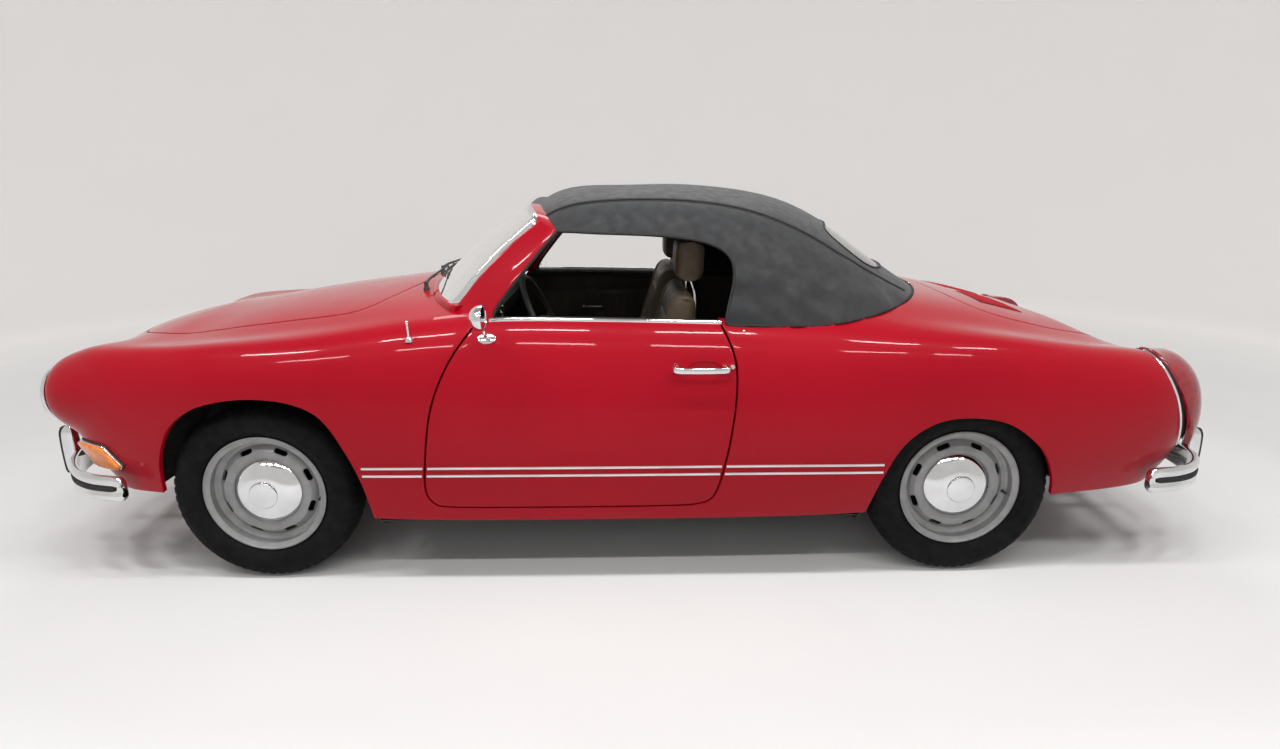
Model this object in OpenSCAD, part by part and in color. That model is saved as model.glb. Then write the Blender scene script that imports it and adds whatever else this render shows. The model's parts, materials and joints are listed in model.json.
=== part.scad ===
// Two-door convertible car with a rear engine, built as separate named pieces.
// Millimetres. The front points to -X, the left side to -Y, the ground is z = 0.
// Drawing stations are measured from the body datum and scaled by px() and py().

/* [Overall] */
// Length over the bumper guards
car_length = 4190; // [3490:10:5030]
// Width over the body sides
car_width = 1634; // [1360:2:1962]

/* [Wheels] */
// Outside diameter of the tyre
tyre_diameter = 630; // [590:2:640]
// Width of the tyre over the sidewalls
tyre_width = 166; // [138:2:200]
// Radius of the domed hub cap
hub_cap_radius = 118; // [98:1:142]
// Circle through the centres of the wheel bolts
bolt_circle = 130; // [108:1:156]
// Clearance hole for a wheel bolt, radius
bolt_hole_radius = 7.5; // [6:0.5:9]
// Distance between the front tyre centre planes
front_track = 1310; // [1290:2:1340]
// Distance between the rear tyre centre planes
rear_track = 1346; // [1320:2:1360]
// Radius of the wheel spindles
spindle_radius = 15; // [12:0.5:18]

/* [Panels] */
// Thickness of the fixed body walls
wall = 24; // [20:1:29]
// Thickness of the hood and the engine lid
lid_thickness = 20; // [16:1:24]
// Gap round the doors and lids
panel_gap = 6; // [5:0.5:7.5]
// Distance from the middle of the car to the flat inner face of a door
door_inner_face = 684; // [670:1:690]
// Thickness of the folding top with its lining
top_thickness = 10; // [8:1:12]
// Thickness of the windscreen glass
glass_thickness = 6; // [5:0.5:7]

/* [Cabin] */
// Diameter of the steering wheel rim
steering_wheel_diameter = 400; // [333:1:480]
// Width of one front seat
seat_width = 480; // [400:5:540]
// Thickness of the seat cushion
cushion_height = 120; // [100:1:144]
// Thickness of the floor sheet
floor_thickness = 12; // [10:1:15]

/* [Running gear] */
// Diameter of the front axle tubes
axle_tube_diameter = 50; // [42:1:60]
// Diameter of the exhaust silencer
silencer_diameter = 150; // [125:1:180]

/* [Hidden] */
$fn = 48;
kx = car_length / 4190;
ky = car_width / 1634;
datum = 40;
close_fit = 0.3;
run_fit = 0.05;
floor_z = 186;
tunnel_top = 320;
seat_y = 365;
column_radius = 16;
jacket_radius = 32;
king_pin_radius = 10;
beam_x = -1340;
beam_offset = 75;
torsion_x = 880;
torsion_z = 262;
torsion_radius = 36;
bumper_arm_y = 330;
front_axle_x = -1235;
rear_axle_x = 1165;
axle_z = tyre_diameter / 2;
king_pin_y = 575;
column_tilt = 65;
wheel_hub = [-296, -seat_y, 832];
front_house_radius = 388;
rear_house_radius = 352;

paint = [0.62, 0.04, 0.09];
chrome = [0.8, 0.8, 0.82];
black = [0.06, 0.06, 0.06];
tan = [0.45, 0.33, 0.2];
clear = [0.6, 0.75, 0.72, 0.4];
silver = [0.6, 0.6, 0.6];

// Scaled drawing stations.
function px(x) = (x - datum) * kx;
function py(y) = y * ky;
function pt(p) = [px(p[0]), py(p[1]), p[2]];

// Body form: nine lines along each rib, from the centreline over the lid, the valley and the fender
// crest down to the bottom edge.
nose_ribs = [
    [[-1560,0,872],[-1740,0,838],[-1880,0,800],[-1965,0,758],[-2015,0,700],[-2030,0,610],[-2000,0,500],
        [-1950,0,400],[-1895,0,320]],
    [[-1560,0,872],[-1725,100,838],[-1860,165,800],[-1940,205,755],[-1985,230,697],[-1995,245,610],
        [-1965,250,500],[-1915,255,400],[-1865,260,320]],
    [[-1560,0,872],[-1695,180,842],[-1800,320,805],[-1875,400,760],[-1925,430,705],[-1935,445,615],
        [-1905,450,505],[-1860,455,400],[-1815,455,320]],
    [[-1560,0,872],[-1650,245,845],[-1730,430,806],[-1820,545,815],[-1925,580,795],[-1985,590,680],
        [-1935,600,545],[-1855,615,420],[-1790,615,325]],
    [[-1560,0,872],[-1600,275,850],[-1660,470,812],[-1730,600,822],[-1820,660,815],[-1880,715,700],
        [-1850,715,555],[-1775,710,430],[-1710,700,330]]
];
side_stations = [
    [-1540, [[0,875],[275,856],[480,820],[600,812],[690,835],[760,730],[770,590],[760,440],[730,330]]],
    [-1400, [[0,895],[280,882],[490,848],[610,826],[705,848],[788,755],[792,600],[782,440],[752,315]]],
    [-1235, [[0,922],[285,910],[495,875],[615,840],[715,855],[802,765],[806,600],[796,430],[765,290]]],
    [-1000, [[0,950],[290,938],[500,908],[620,872],[718,868],[805,780],[814,600],[806,420],[768,255]]],
    [-750, [[0,975],[290,965],[505,942],[625,912],[715,895],[800,800],[818,600],[812,410],[770,238]]],
    [-450, [[0,985],[290,978],[505,962],[620,945],[705,925],[795,815],[822,600],[816,405],[770,233]]],
    [-150, [[0,985],[290,978],[505,962],[620,942],[708,918],[798,805],[826,590],[820,400],[770,232]]],
    [150, [[0,985],[290,978],[505,962],[620,935],[708,910],[798,800],[828,590],[822,400],[770,232]]],
    [430, [[0,985],[290,975],[505,955],[620,930],[708,900],[796,790],[826,590],[822,400],[770,232]]],
    [700, [[0,985],[290,975],[505,955],[620,925],[712,890],[800,800],[834,610],[826,400],[770,238]]],
    [930, [[0,975],[290,968],[500,945],[620,905],[722,875],[812,815],[838,620],[826,400],[770,250]]],
    [1165, [[0,945],[285,940],[490,915],[615,865],[722,868],[812,800],[834,610],[822,410],[768,275]]],
    [1400, [[0,905],[275,898],[470,868],[600,822],[705,845],[795,780],[820,600],[808,420],[758,290]]],
    [1600, [[0,850],[260,845],[440,815],[575,785],[680,815],[765,750],[796,590],[786,420],[740,300]]]
];
tail_ribs = [
    [[1600,0,850],[1660,250,835],[1720,420,792],[1770,550,770],[1800,650,795],[1850,735,720],
        [1880,755,580],[1860,745,430],[1800,715,310]],
    [[1600,0,850],[1700,225,825],[1800,380,765],[1890,500,740],[1945,590,765],[2000,660,690],
        [2020,680,570],[1990,680,430],[1910,660,320]],
    [[1600,0,850],[1730,165,812],[1850,275,745],[1950,350,700],[2010,400,665],[2035,420,600],
        [2035,430,510],[2005,430,410],[1940,425,330]],
    [[1600,0,850],[1745,90,808],[1875,140,738],[1975,180,690],[2035,200,645],[2055,210,585],
        [2052,215,500],[2020,215,405],[1955,210,330]],
    [[1600,0,850],[1750,0,806],[1880,0,736],[1985,0,688],[2045,0,640],[2062,0,580],[2058,0,500],
        [2025,0,405],[1960,0,330]]
];
body_ribs = concat(nose_ribs, [for (s = side_stations) [for (p = s[1]) [s[0], p[0], p[1]]]], tail_ribs);
rib_steps = concat([for (k = [0:11]) k / 3], [for (k = [0:29]) 4 + k / 2], [for (k = [0:12]) 19 + k / 3]);
line_steps = [0, 0.6, 1.2, 1.8, 2.3, 2.7, 3.1, 3.5, 3.9, 4.3, 4.7, 5.2, 5.7, 6.3, 6.9, 7.5, 8];

// Folding top form: six lines along each rib, from the centreline to the lower edge.
top_ribs = [
    [[-375,0,1225],[-360,280,1218],[-312,510,1195],[-290,550,1150],[-290,615,1040],[-290,690,910]],
    [[-318,0,1290],[-300,290,1282],[-255,512,1250],[-235,578,1185],[-235,632,1050],[-235,697,910]],
    [[-210,0,1334],[-195,290,1326],[-170,515,1292],[-150,594,1200],[-150,647,1050],[-150,702,905]],
    [[0,0,1338],[0,290,1331],[0,518,1304],[0,602,1205],[0,652,1050],[0,706,900]],
    [[200,0,1338],[200,290,1330],[200,518,1297],[200,606,1195],[200,657,1045],[200,706,895]],
    [[400,0,1333],[395,290,1321],[385,515,1272],[380,605,1170],[380,662,1030],[380,709,890]],
    [[560,0,1306],[550,285,1288],[530,508,1228],[520,602,1130],[520,663,1010],[520,709,885]],
    [[720,0,1254],[705,280,1232],[670,498,1163],[650,597,1080],[640,661,985],[640,709,880]],
    [[855,0,1168],[840,272,1143],[793,482,1088],[767,587,1022],[757,651,955],[752,699,880]],
    [[975,0,1076],[955,265,1056],[908,456,1022],[878,562,972],[863,622,930],[852,652,888]],
    [[1085,0,1000],[1064,250,990],[1013,427,965],[982,512,938],[962,557,915],[952,577,895]],
    [[1190,0,930],[1166,240,925],[1112,395,915],[1076,455,908],[1055,485,900],[1038,505,890]]
];

// Windscreen glass: lower and upper edge, from the middle to the corner.
glass_low = [[-735,0,962],[-727,160,961],[-700,320,957],[-655,470,950],[-608,560,944],[-576,600,940]];
glass_high = [[-356,0,1266],[-352,150,1264],[-341,290,1259],[-322,410,1250],[-303,490,1240],
    [-288,527,1228]];

// Cut lines, as drawn from the side (x, z) or from above (x, y).
door_line = [[-300,1010],[-418,985],[-450,940],[-500,875],[-553,799],[-601,699],[-630,598],[-651,458],
    [-660,360],[-640,308],[-590,292],[-400,288],[-100,287],[150,289],[250,296],[300,330],[333,457],
    [355,597],[364,699],[362,782],[342,848],[312,910],[296,960],[270,1010]];
front_arch = [[-1590,180],[-1568,357],[-1546,463],[-1495,567],[-1418,632],[-1320,666],[-1205,679],
    [-1078,665],[-982,616],[-914,502],[-871,371],[-846,180]];
rear_arch = [[818,180],[832,249],[864,382],[920,506],[1012,580],[1125,601],[1261,579],[1373,504],
    [1436,421],[1480,304],[1490,180]];
hood_line = [[-1862,0],[-1858,120],[-1835,230],[-1785,320],[-1700,400],[-1560,455],[-1300,490],
    [-1050,512],[-950,512],[-892,470],[-845,370],[-805,240],[-785,110],[-782,0]];
lid_line = [[1240,0],[1243,200],[1262,345],[1310,425],[1380,455],[1500,455],[1640,432],[1760,390],
    [1830,320],[1868,180],[1876,0]];
cabin_line = [[-722,0],[-714,160],[-688,318],[-640,468],[-592,560],[-555,604],[-470,640],[-400,660],
    [0,672],[700,672],[800,630],[900,560],[985,470],[1050,370],[1090,240],[1105,120],[1108,0]];

// Headlamp position, and the round seat that the wing forms about it.
lamp_radius = 88;
lamp_y = 578;
lamp_z = 650;
lamp_face = -1942;

// Mathematics of the forms.
function ease(t) = let(c = min(max(t, 0), 1)) c * c * (3 - 2 * c);
function eye(p) = let(d = norm([p[1] - lamp_y, p[2] - lamp_z]),
    w = ease((152 - d) / 64) * ease((-1690 - p[0]) / 110)) [p[0] * (1 - w) + lamp_face * w, p[1], p[2]];
function eyes(g) = [for (r = g) [for (p = r) eye(p)]];
function blend(p, t) = let(i = min(floor(t), len(p) - 4), f = t - i,
    g = 1 - f) (g * g * g * p[i] + (3 * f * f * f - 6 * f * f + 4)
    * p[i + 1] + (3 * f + 3 * f * f - 3 * f * f * f + 1) * p[i + 2] + f * f * f * p[i + 3]) / 6;
function flip(p) = [p[0], -p[1], p[2]];
function pad_line(r) = concat([flip(r[1])], r, [2 * r[len(r) - 1] - r[len(r) - 2]]);
function flip_rib(r) = [for (p = r) flip(p)];
function last(v) = v[len(v) - 1];
function closed_ends(r) = concat([flip_rib(r[1])], r, [flip_rib(r[len(r) - 2])]);
function open_ends(r) = concat([2 * r[0] - r[1]], r, [2 * last(r) - r[len(r) - 2]]);
function along(rows, us, vs) = let(h = [for (r = rows) let(q = pad_line(r)) [for (v = vs) blend(q,
    v)]]) [for (u = us) [for (j = [0:len(vs) - 1]) blend([for (r = h) r[j]], u)]];
function unit(v) = v / norm(v);
function spare(v, x) = norm(v) > 0.5 ? unit(v) : unit([x < 0 ? -0.25 : 0.3, 0, 1]);
function slope(g, i, j) = cross(g[min(i + 1, len(g) - 1)][j] - g[max(i - 1, 0)][j],
    g[i][min(j + 1, len(g[0]) - 1)] - g[i][max(j - 1, 0)]);
function inset(g, t) = [for (i = [0:len(g) - 1]) [for (j = [0:len(g[0]) - 1])
    g[i][j] - t * spare(slope(g, i, j), g[i][j][0])]];
function mid_plane(g,
    ends) = [for (i = [0:len(g) - 1]) [for (j = [0:len(g[0]) - 1]) let(p = g[i][j]) (j ==
    0 || (ends && (i == 0 || i == len(g) - 1))) ? [p[0], 0, p[2]] : [p[0], max(p[1], 0), p[2]]]];
function scaled(g) = [for (r = g) [for (p = r) pt(p)]];
function body_grid(t) = let(g = scaled(eyes(along(closed_ends(body_ribs), rib_steps,
    line_steps)))) mid_plane(t == 0 ? g : inset(g, t), true);
function top_grid(t) = let(g = scaled(along(open_ends(top_ribs), [for (k = [0:22]) k / 2],
    [for (k = [0:12]) k * 5 / 12]))) mid_plane(inset(g, t), false);
function pass(a, b, c, d,
    t) = (2 * b + (c - a) * t + (2 * a - 5 * b + 4 * c - d) * t * t + (3 * b - a - 3 * c + d)
    * t * t * t) / 2;
function through(p, n) = let(m = len(p) - 1) concat([for (i = [0:m - 1]) for (k = [0:n - 1])
    pass(p[max(i - 1, 0)], p[i], p[i + 1], p[min(i + 2, m)], k / n)], [p[m]]);

// Grid of points to solid: an outer and an inner face joined round the rim.
module slab(a, b) {
    n = len(a);
    m = len(a[0]);
    s = n * m;
    pts = concat([for (r = a) for (p = r) p], [for (r = b) for (p = r) p]);
    rim = concat([for (j = [0:m - 1]) j], [for (i = [1:n - 1]) i * m + m - 1],
        [for (j = [1:m - 1]) s - 1 - j], [for (i = [1:n - 2]) (n - 1 - i) * m]);
    out1 = [for (i = [0:n - 2]) for (j = [0:m - 2]) [i * m + j, i * m + j + 1, i * m + m + j + 1]];
    out2 = [for (i = [0:n - 2]) for (j = [0:m - 2]) [i * m + j, i * m + m + j + 1, i * m + m + j]];
    in1 = [for (f = out1) [f[2] + s, f[1] + s, f[0] + s]];
    in2 = [for (f = out2) [f[2] + s, f[1] + s, f[0] + s]];
    c = len(rim);
    edge1 = [for (k = [0:c - 1]) [rim[(k + 1) % c], rim[k], rim[k] + s]];
    edge2 = [for (k = [0:c - 1]) [rim[(k + 1) % c], rim[k] + s, rim[(k + 1) % c] + s]];
    polyhedron(pts, concat(out1, out2, in1, in2, edge1, edge2), convexity = 10);
}

// Rings of points to solid, with flat ends.
module loft(rings) {
    n = len(rings);
    m = len(rings[0]);
    pts = [for (r = rings) for (p = r) p];
    w1 = [for (i = [0:n - 2]) for (j = [0:m - 1]) [i * m + j, i * m + (j + 1) % m,
        i * m + m + (j + 1) % m]];
    w2 = [for (i = [0:n - 2]) for (j = [0:m - 1]) [i * m + j, i * m + m + (j + 1) % m, i * m + m + j]];
    cap1 = [for (j = [1:m - 2]) [0, j + 1, j]];
    cap2 = [for (j = [1:m - 2]) [(n - 1) * m, (n - 1) * m + j, (n - 1) * m + j + 1]];
    polyhedron(pts, concat(w1, w2, cap1, cap2), convexity = 10);
}

module both() {
    children();
    mirror([0, 1, 0]) children();
}

// The whole subtree is evaluated as triangles.
module faceted() {
    resize([0, 0, 0]) children();
}

module box(a, b) {
    translate(pt(a)) cube([(b[0] - a[0]) * kx, (b[1] - a[1]) * ky, b[2] - a[2]]);
}

// An outline drawn from the side (x, z).
module side_outline(line) {
    polygon([for (p = line) [px(p[0]), p[1]]]);
}

// A solid with that outline between two widths.
module side_prism(line, y0, y1) {
    translate([0, py(y1), 0]) rotate([90, 0, 0]) linear_extrude(py(y1) - py(y0)) side_outline(line);
}

// The same, with the outline grown or shrunk.
module side_cut(line, grow, y0, y1) {
    translate([0, py(y1), 0]) rotate([90, 0, 0]) linear_extrude(py(y1) - py(y0))
        offset(delta = grow) side_outline(line);
}

// A solid with an outline drawn from above (x, y) and mirrored, between two heights.
module plan_cut(line, grow, z0, z1) {
    full = concat(line, [for (k = [len(line) - 1:-1:0]) [line[k][0], -line[k][1]]]);
    translate([0, 0, z0]) linear_extrude(z1 - z0) offset(delta = grow) polygon([for (p = full)
        [px(p[0]), py(p[1])]]);
}

// A round bar between two scaled stations.
module bar(a, b, r) {
    p = pt(a);
    d = pt(b) - p;
    translate(p) rotate([0, acos(d[2] / norm(d)), atan2(d[1], d[0])]) cylinder(r = r, h = norm(d));
}

module across(x, y0, y1, z, r) {
    translate([px(x), py(y1), z]) rotate([90, 0, 0]) cylinder(r = r, h = py(y1) - py(y0));
}

// Solid car body, each side closed on the middle plane. A positive t shrinks it and opens its bottom.
module half_body(t) {
    g = body_grid(t);
    drop = t > 0 ? 150 : 0;
    a = drop > 0 ? [for (r = g) concat(r, [last(r) - [0, 0, drop]])] : g;
    b = [for (r = a) [for (p = r) [p[0], 0, p[2]]]];
    n = len(a);
    m = len(a[0]);
    s = n * m;
    pts = concat([for (r = a) for (p = r) p], [for (r = a) let(p = last(r)) [p[0], 0, p[2]]]);
    out1 = [for (i = [0:n - 2]) for (j = [0:m - 2]) [i * m + j, i * m + j + 1, i * m + m + j + 1]];
    out2 = [for (i = [0:n - 2]) for (j = [0:m - 2]) [i * m + j, i * m + m + j + 1, i * m + m + j]];
    low1 = [for (i = [0:n - 2]) [i * m + m - 1, s + i, s + i + 1]];
    low2 = [for (i = [0:n - 2]) [i * m + m - 1, s + i + 1, i * m + m + m - 1]];
    mid = concat([for (j = [m - 1:-1:0]) j], [for (i = [1:n - 1]) i * m],
        [for (j = [1:m - 1]) (n - 1) * m + j], [for (i = [n - 2:-1:1]) s + i]);
    polyhedron(pts, concat(out1, out2, low1, low2, [mid]), convexity = 12);
}

module whole_body(t) {
    both() half_body(t);
}

module half_shell(t) {
    difference() {
        half_body(0);
        half_body(t);
    }
}

module arches(grow) {
    side_cut(front_arch, grow, 380, 900);
    side_cut(rear_arch, grow, 545, 900);
}

// Everything that the doors leave open in one side of the body, with the relief for their swing.
module door_way() {
    side_cut(door_line, panel_gap, 600, 900);
    translate([5, 0, 0]) side_cut(door_line, panel_gap, 600, 770);
}

module shell_openings() {
    door_way();
    arches(0);
    plan_cut(hood_line, panel_gap, 600, 1100);
    plan_cut(lid_line, panel_gap, 600, 1100);
    plan_cut(cabin_line, 0, 700, 1100);
}

module front_body() {
    color(paint) faceted() both() difference() {
        intersection() {
            half_shell(wall);
            box([-2200, -1, 0], [-430, 900, 1100]);
        }
        shell_openings();
        box([-652, 600, 0], [0, 900, 400]);
        rotate_lamp(1) cylinder(r = lamp_radius + close_fit, h = 400, center = true);
        glass_sheet(glass_thickness, close_fit);
    }
    color(paint) faceted() both() {
        gutter(hood_line);
        hinge_pillar();
    }
}

// Ledge under the edge of a lid.
module gutter(line) {
    difference() {
        intersection() {
            half_body(lid_thickness + close_fit);
            plan_cut(line, panel_gap + 2, 600, 1100);
        }
        half_body(wall + 3);
        plan_cut(line, -12, 500, 1200);
    }
}

// Hinge pillar ahead of the door, with the block that the closed door meets.
module hinge_pillar() {
    difference() {
        intersection() {
            half_body(wall / 2);
            union() {
                box([-720, 640.3, 262], [-652, 900, 866]);
                box([-653, 640.3, 340.3], [-540, 900, 866]);
            }
        }
        door_way();
    }
    intersection() {
        difference() {
            side_cut(door_line, panel_gap + 3, 690, 740);
            side_cut(door_line, close_fit - 18, 600, 900);
        }
        box([-700, 690, 420], [-560, 740, 640]);
    }
}

// Lock pillar behind the door, with the rear side lining.
module lock_pillar() {
    difference() {
        intersection() {
            half_body(wall / 2);
            union() {
                box([300, 640.3, 262], [430, 900, 872]);
                box([420, 640.3, 262], [790, 652, 872]);
            }
        }
        door_way();
    }
}

module rear_body() {
    color(paint) faceted() both() difference() {
        intersection() {
            half_shell(wall);
            box([240, -1, 0], [2200, 900, 1100]);
        }
        shell_openings();
        box([0, 600, 0], [300, 900, 330]);
    }
    color(paint) faceted() both() {
        gutter(lid_line);
        lock_pillar();
    }
}

module sills() {
    color(paint) faceted() both() difference() {
        intersection() {
            half_body(0);
            box([-652 + 0.3, 640, 225], [300 - 0.3, 900, 340]);
        }
        side_cut(door_line, panel_gap, 600, 900);
    }
}

// Wheel arches inside the body: part of a drum over each wheel with a flat inner wall.
module house(x, r, y0, y1, z0) {
    difference() {
        translate([px(x), py(y1), axle_z]) rotate([90, 0, 0]) difference() {
            cylinder(r = r, h = py(y1) - py(y0));
            translate([0, 0, -1]) cylinder(r = r - 5, h = py(y1) - py(y0) - 4);
        }
        translate([px(x) - 500, 0, -200]) cube([1000, 1200, z0 + 200]);
    }
}

module wheel_houses() {
    color(black) both() {
        difference() {
            house(front_axle_x, front_house_radius, 400, 690, 330);
            across(beam_x, 350, 500, axle_z + beam_offset, axle_tube_diameter / 2 + close_fit);
        }
        house(rear_axle_x, rear_house_radius, 562, 715, 330);
    }
}

module hood() {
    color(paint) faceted() both() intersection() {
        half_shell(lid_thickness);
        plan_cut(hood_line, 0, 600, 1100);
    }
}

module engine_lid() {
    color(paint) faceted() both() intersection() {
        half_shell(lid_thickness);
        plan_cut(lid_line, 0, 600, 1100);
    }
}

module door_half() {
    difference() {
        union() {
            intersection() {
                half_shell(wall);
                side_cut(door_line, 0, 646, 900);
            }
            intersection() {
                half_body(wall / 2);
                side_cut(door_line, -18, door_inner_face / ky, 900);
            }
        }
        plan_cut(cabin_line, 0, 990, 1100);
    }
}

module door_right() {
    color(paint) faceted() door_half();
}

module door_left() {
    color(paint) faceted() mirror([0, 1, 0]) door_half();
}

// Floor, tunnel and bulkheads.
toe_x = -921;
heel_x = 819.7;
rear_floor_z = 393;

module floor_pan() {
    t = floor_thickness;
    color(black) {
        both() difference() {
            box([toe_x, 75 + close_fit, floor_z], [heel_x, 636, floor_z + t]);
            box([toe_x - 1, 398, floor_z - 1], [-840, 640, floor_z + t + 1]);
        }
        tunnel();
        toe_foot = toe_x - close_fit;
        both() side_prism([[toe_foot - 8, floor_z], [-1060, 430], [-1060, 445],
            [toe_foot, floor_z + t]], 0.2, 396);
        difference() {
            both() box([-1060, 0.2, 445 + close_fit], [-1048, 396, 800]);
            on_column() translate([0, 0, -1200]) cylinder(r = column_radius + close_fit, h = 1200);
        }
        both() box([-930, 398 + close_fit, floor_z], [-840 - close_fit, 406, 330]);
        both() box([-840, 398 + close_fit, floor_z + t + close_fit], [-832, 636, 330]);
        both() box([heel_x + close_fit, 0.2, floor_z], [832, 545, rear_floor_z + t]);
        both() box([832 + close_fit, 0.2, rear_floor_z], [1075, 545, rear_floor_z + t]);
        both() box([1075 + close_fit, 0.2, rear_floor_z], [1087, 545, 860]);
    }
}

module tunnel_section(half, low, high) {
    top = half - 25;
    side = [[half * ky, low], [half * ky, high - 30], [top * ky, high]];
    polygon(concat(side, [for (k = [2:-1:0]) [-side[k][0], side[k][1]]]));
}

module tunnel() {
    rotate([90, 0, 90]) translate([0, 0, px(-920)]) linear_extrude(1735 * kx) difference() {
        tunnel_section(75, floor_z, tunnel_top);
        tunnel_section(67, floor_z - 6, tunnel_top - 8);
    }
}

module front_trunk() {
    color(paint) {
        box([-1840, -396, 470], [-1060.3, 396, 478]);
        both() difference() {
            box([-1620, 388, 330], [-1060.3, 396, 469.7]);
            across(beam_x, 350, 500, axle_z + beam_offset, axle_tube_diameter / 2 + close_fit);
        }
        both() box([-1640, 388, 478], [-1060.3, 396, 760]);
        box([-1640, -388, 330], [-1632, 388, 469.7]);
    }
}

// Front lamps.
module rotate_lamp(side) {
    translate([px(lamp_face), side * py(lamp_y), lamp_z]) rotate([0, -90, 0]) children();
}

module lamp() {
    r = lamp_radius;
    rotate_extrude() polygon([[0, -70], [50, -66], [76, -44], [r - 4, -14], [r, -12], [r, close_fit],
        [r + 7, close_fit], [r + 8, 7], [r + 4, 15], [r - 4, 19], [62, 26], [34, 31], [0, 33]]);
}

module headlamps() {
    color(chrome) {
        rotate_lamp(1) lamp();
        rotate_lamp(-1) lamp();
    }
}

module turn_signals() {
    color([0.9, 0.45, 0.05]) faceted() both() difference() {
        intersection() {
            half_body(-30);
            side_cut([[-1850, 425], [-1850, 505], [-1745, 497], [-1690, 430], [-1690, 415]], 0, 600, 900);
        }
        half_body(-close_fit);
    }
}

module tail_lights() {
    color([0.5, 0.02, 0.05]) faceted() both() difference() {
        intersection() {
            half_body(-16);
            side_cut([[1878, 770], [1925, 690], [1958, 590], [1980, 460], [2100, 450], [2100, 770]], 0,
                560, 900);
        }
        half_body(-close_fit);
    }
}

// Bumpers: a ridged blade swept round each end, with guards and arms.
front_blade = [[-2045, 0], [-2042, 220], [-2022, 420], [-1975, 560], [-1890, 680], [-1790, 748],
    [-1665, 778]];
rear_blade = [[2112, 0], [2110, 260], [2098, 470], [2068, 620], [2004, 712], [1915, 758], [1800, 776]];
blade_section = [[0, 0], [8, 6], [10, 24], [2, 34], [2, 54], [10, 64], [10, 78], [0, 90], [-16, 90],
    [-16, 78], [-6, 72], [-6, 18], [-16, 12], [-16, 0]];

module blade(path, z, dir) {
    q = through(path, 3);
    full = concat([for (k = [len(q) - 1:-1:1]) [q[k][0], -q[k][1]]], q);
    m = len(full) - 1;
    rings = [for (k = [0:m]) let(d = unit(full[min(k + 1, m)] - full[max(k - 1, 0)]),
        n = [dir * d[1], -dir * d[0]]) [for (s = blade_section) [px(full[k][0]) + n[0] * s[0],
        py(full[k][1]) + n[1] * s[0], z + s[1]]]];
    loft(dir > 0 ? rings : [for (k = [m:-1:0]) rings[k]]);
}

module guard(x, y, z0, z1, dir) {
    a = px(x);
    b = [a, a - dir * 12, a - dir * 60];
    for (s = [-1, 1]) {
        translate([0, s * py(y) + 22, z0]) rotate([90, 0, 0]) linear_extrude(44) polygon([[b[0], 15],
            [b[0], z1 - z0 - 25], [b[1], z1 - z0], [b[2], z1 - z0 - 8], [b[2], 8], [b[1], 0]]);
    }
}

module front_bumper() {
    color(chrome) faceted() difference() {
        union() {
            blade(front_blade, 318, -1);
            guard(-2055, 500, 312, 500, -1);
            for (s = [-1, 1]) box([-2030, s * bumper_arm_y - 20, 340],
                [-1700, s * bumper_arm_y + 20, 390]);
        }
        whole_body(-close_fit);
    }
}

module rear_bumper() {
    color(chrome) faceted() difference() {
        union() {
            blade(rear_blade, 306, 1);
            guard(2135, 560, 300, 470, 1);
            for (s = [-1, 1]) box([1900, s * bumper_arm_y - 20, 330], [2100, s * bumper_arm_y + 20, 380]);
        }
        whole_body(-close_fit);
    }
}

// Windscreen.
function half_glass(t) = [for (k = [0:3]) let(f = k / 3,
    b = 18 * 4 * f * (1 - f)) [for (j = [0:5]) pt(glass_low[j] * (1 - f) + glass_high[j] * f)
    + [-0.6 * b - 0.62 * t, 0, 0.75 * b + 0.78 * t]]];
function full_rows(g) = [for (r = g) concat([for (k = [len(r) - 1:-1:1]) flip(r[k])], r)];
module glass_sheet(t, edge) {
    slab(full_rows(half_glass(t + edge)), full_rows(half_glass(-edge)));
}

module windscreen_glass() {
    color(clear) glass_sheet(glass_thickness, 0);
}

pillar = [[[-588, 606, 905], [-560, 655, 905], [-425, 694, 905], [-440, 650, 905]],
    [[-568, 604, 948], [-548, 640, 952], [-418, 680, 948], [-428, 642, 945]],
    [[-452, 592, 1045], [-438, 612, 1052], [-338, 655, 1052], [-350, 618, 1048]],
    [[-350, 562, 1142], [-338, 584, 1150], [-258, 624, 1146], [-268, 592, 1142]],
    [[-296, 528, 1218], [-280, 552, 1232], [-218, 600, 1192], [-228, 566, 1188]]];
header = [[[-300, 524, 1212], [-288, 536, 1236], [-222, 596, 1200], [-232, 560, 1180]],
    [[-322, 470, 1232], [-310, 474, 1262], [-222, 500, 1246], [-236, 486, 1214]],
    [[-345, 350, 1244], [-336, 352, 1276], [-246, 360, 1272], [-256, 356, 1234]],
    [[-358, 180, 1250], [-350, 180, 1284], [-258, 182, 1286], [-266, 182, 1244]],
    [[-362, 0, 1252], [-354, 0, 1286], [-262, 0, 1290], [-270, 0, 1246]]];
base_rail = [[[-572, 628, 900], [-560, 634, 951], [-525, 612, 949], [-530, 606, 900]],
    [[-605, 596, 900], [-592, 606, 952], [-560, 588, 952], [-560, 578, 900]],
    [[-668, 482, 900], [-660, 488, 962], [-622, 468, 962], [-622, 460, 900]],
    [[-714, 326, 905], [-706, 330, 970], [-668, 316, 970], [-668, 312, 905]],
    [[-742, 160, 910], [-735, 162, 975], [-696, 158, 975], [-696, 156, 910]],
    [[-750, 0, 912], [-742, 0, 977], [-702, 0, 977], [-702, 0, 912]]];
function rings_of(v) = [for (r = v) [for (p = r) pt(p)]];
function smooth_rings(v) = rings_of(through(v, 3));

module windscreen_frame() {
    color(paint) faceted() difference() {
        both() {
            loft(smooth_rings(pillar));
            loft(smooth_rings(header));
            loft(smooth_rings(base_rail));
        }
        glass_sheet(glass_thickness, close_fit);
        whole_body(-close_fit);
        both() side_cut(door_line, panel_gap, 636, 900);
    }
}

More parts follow.
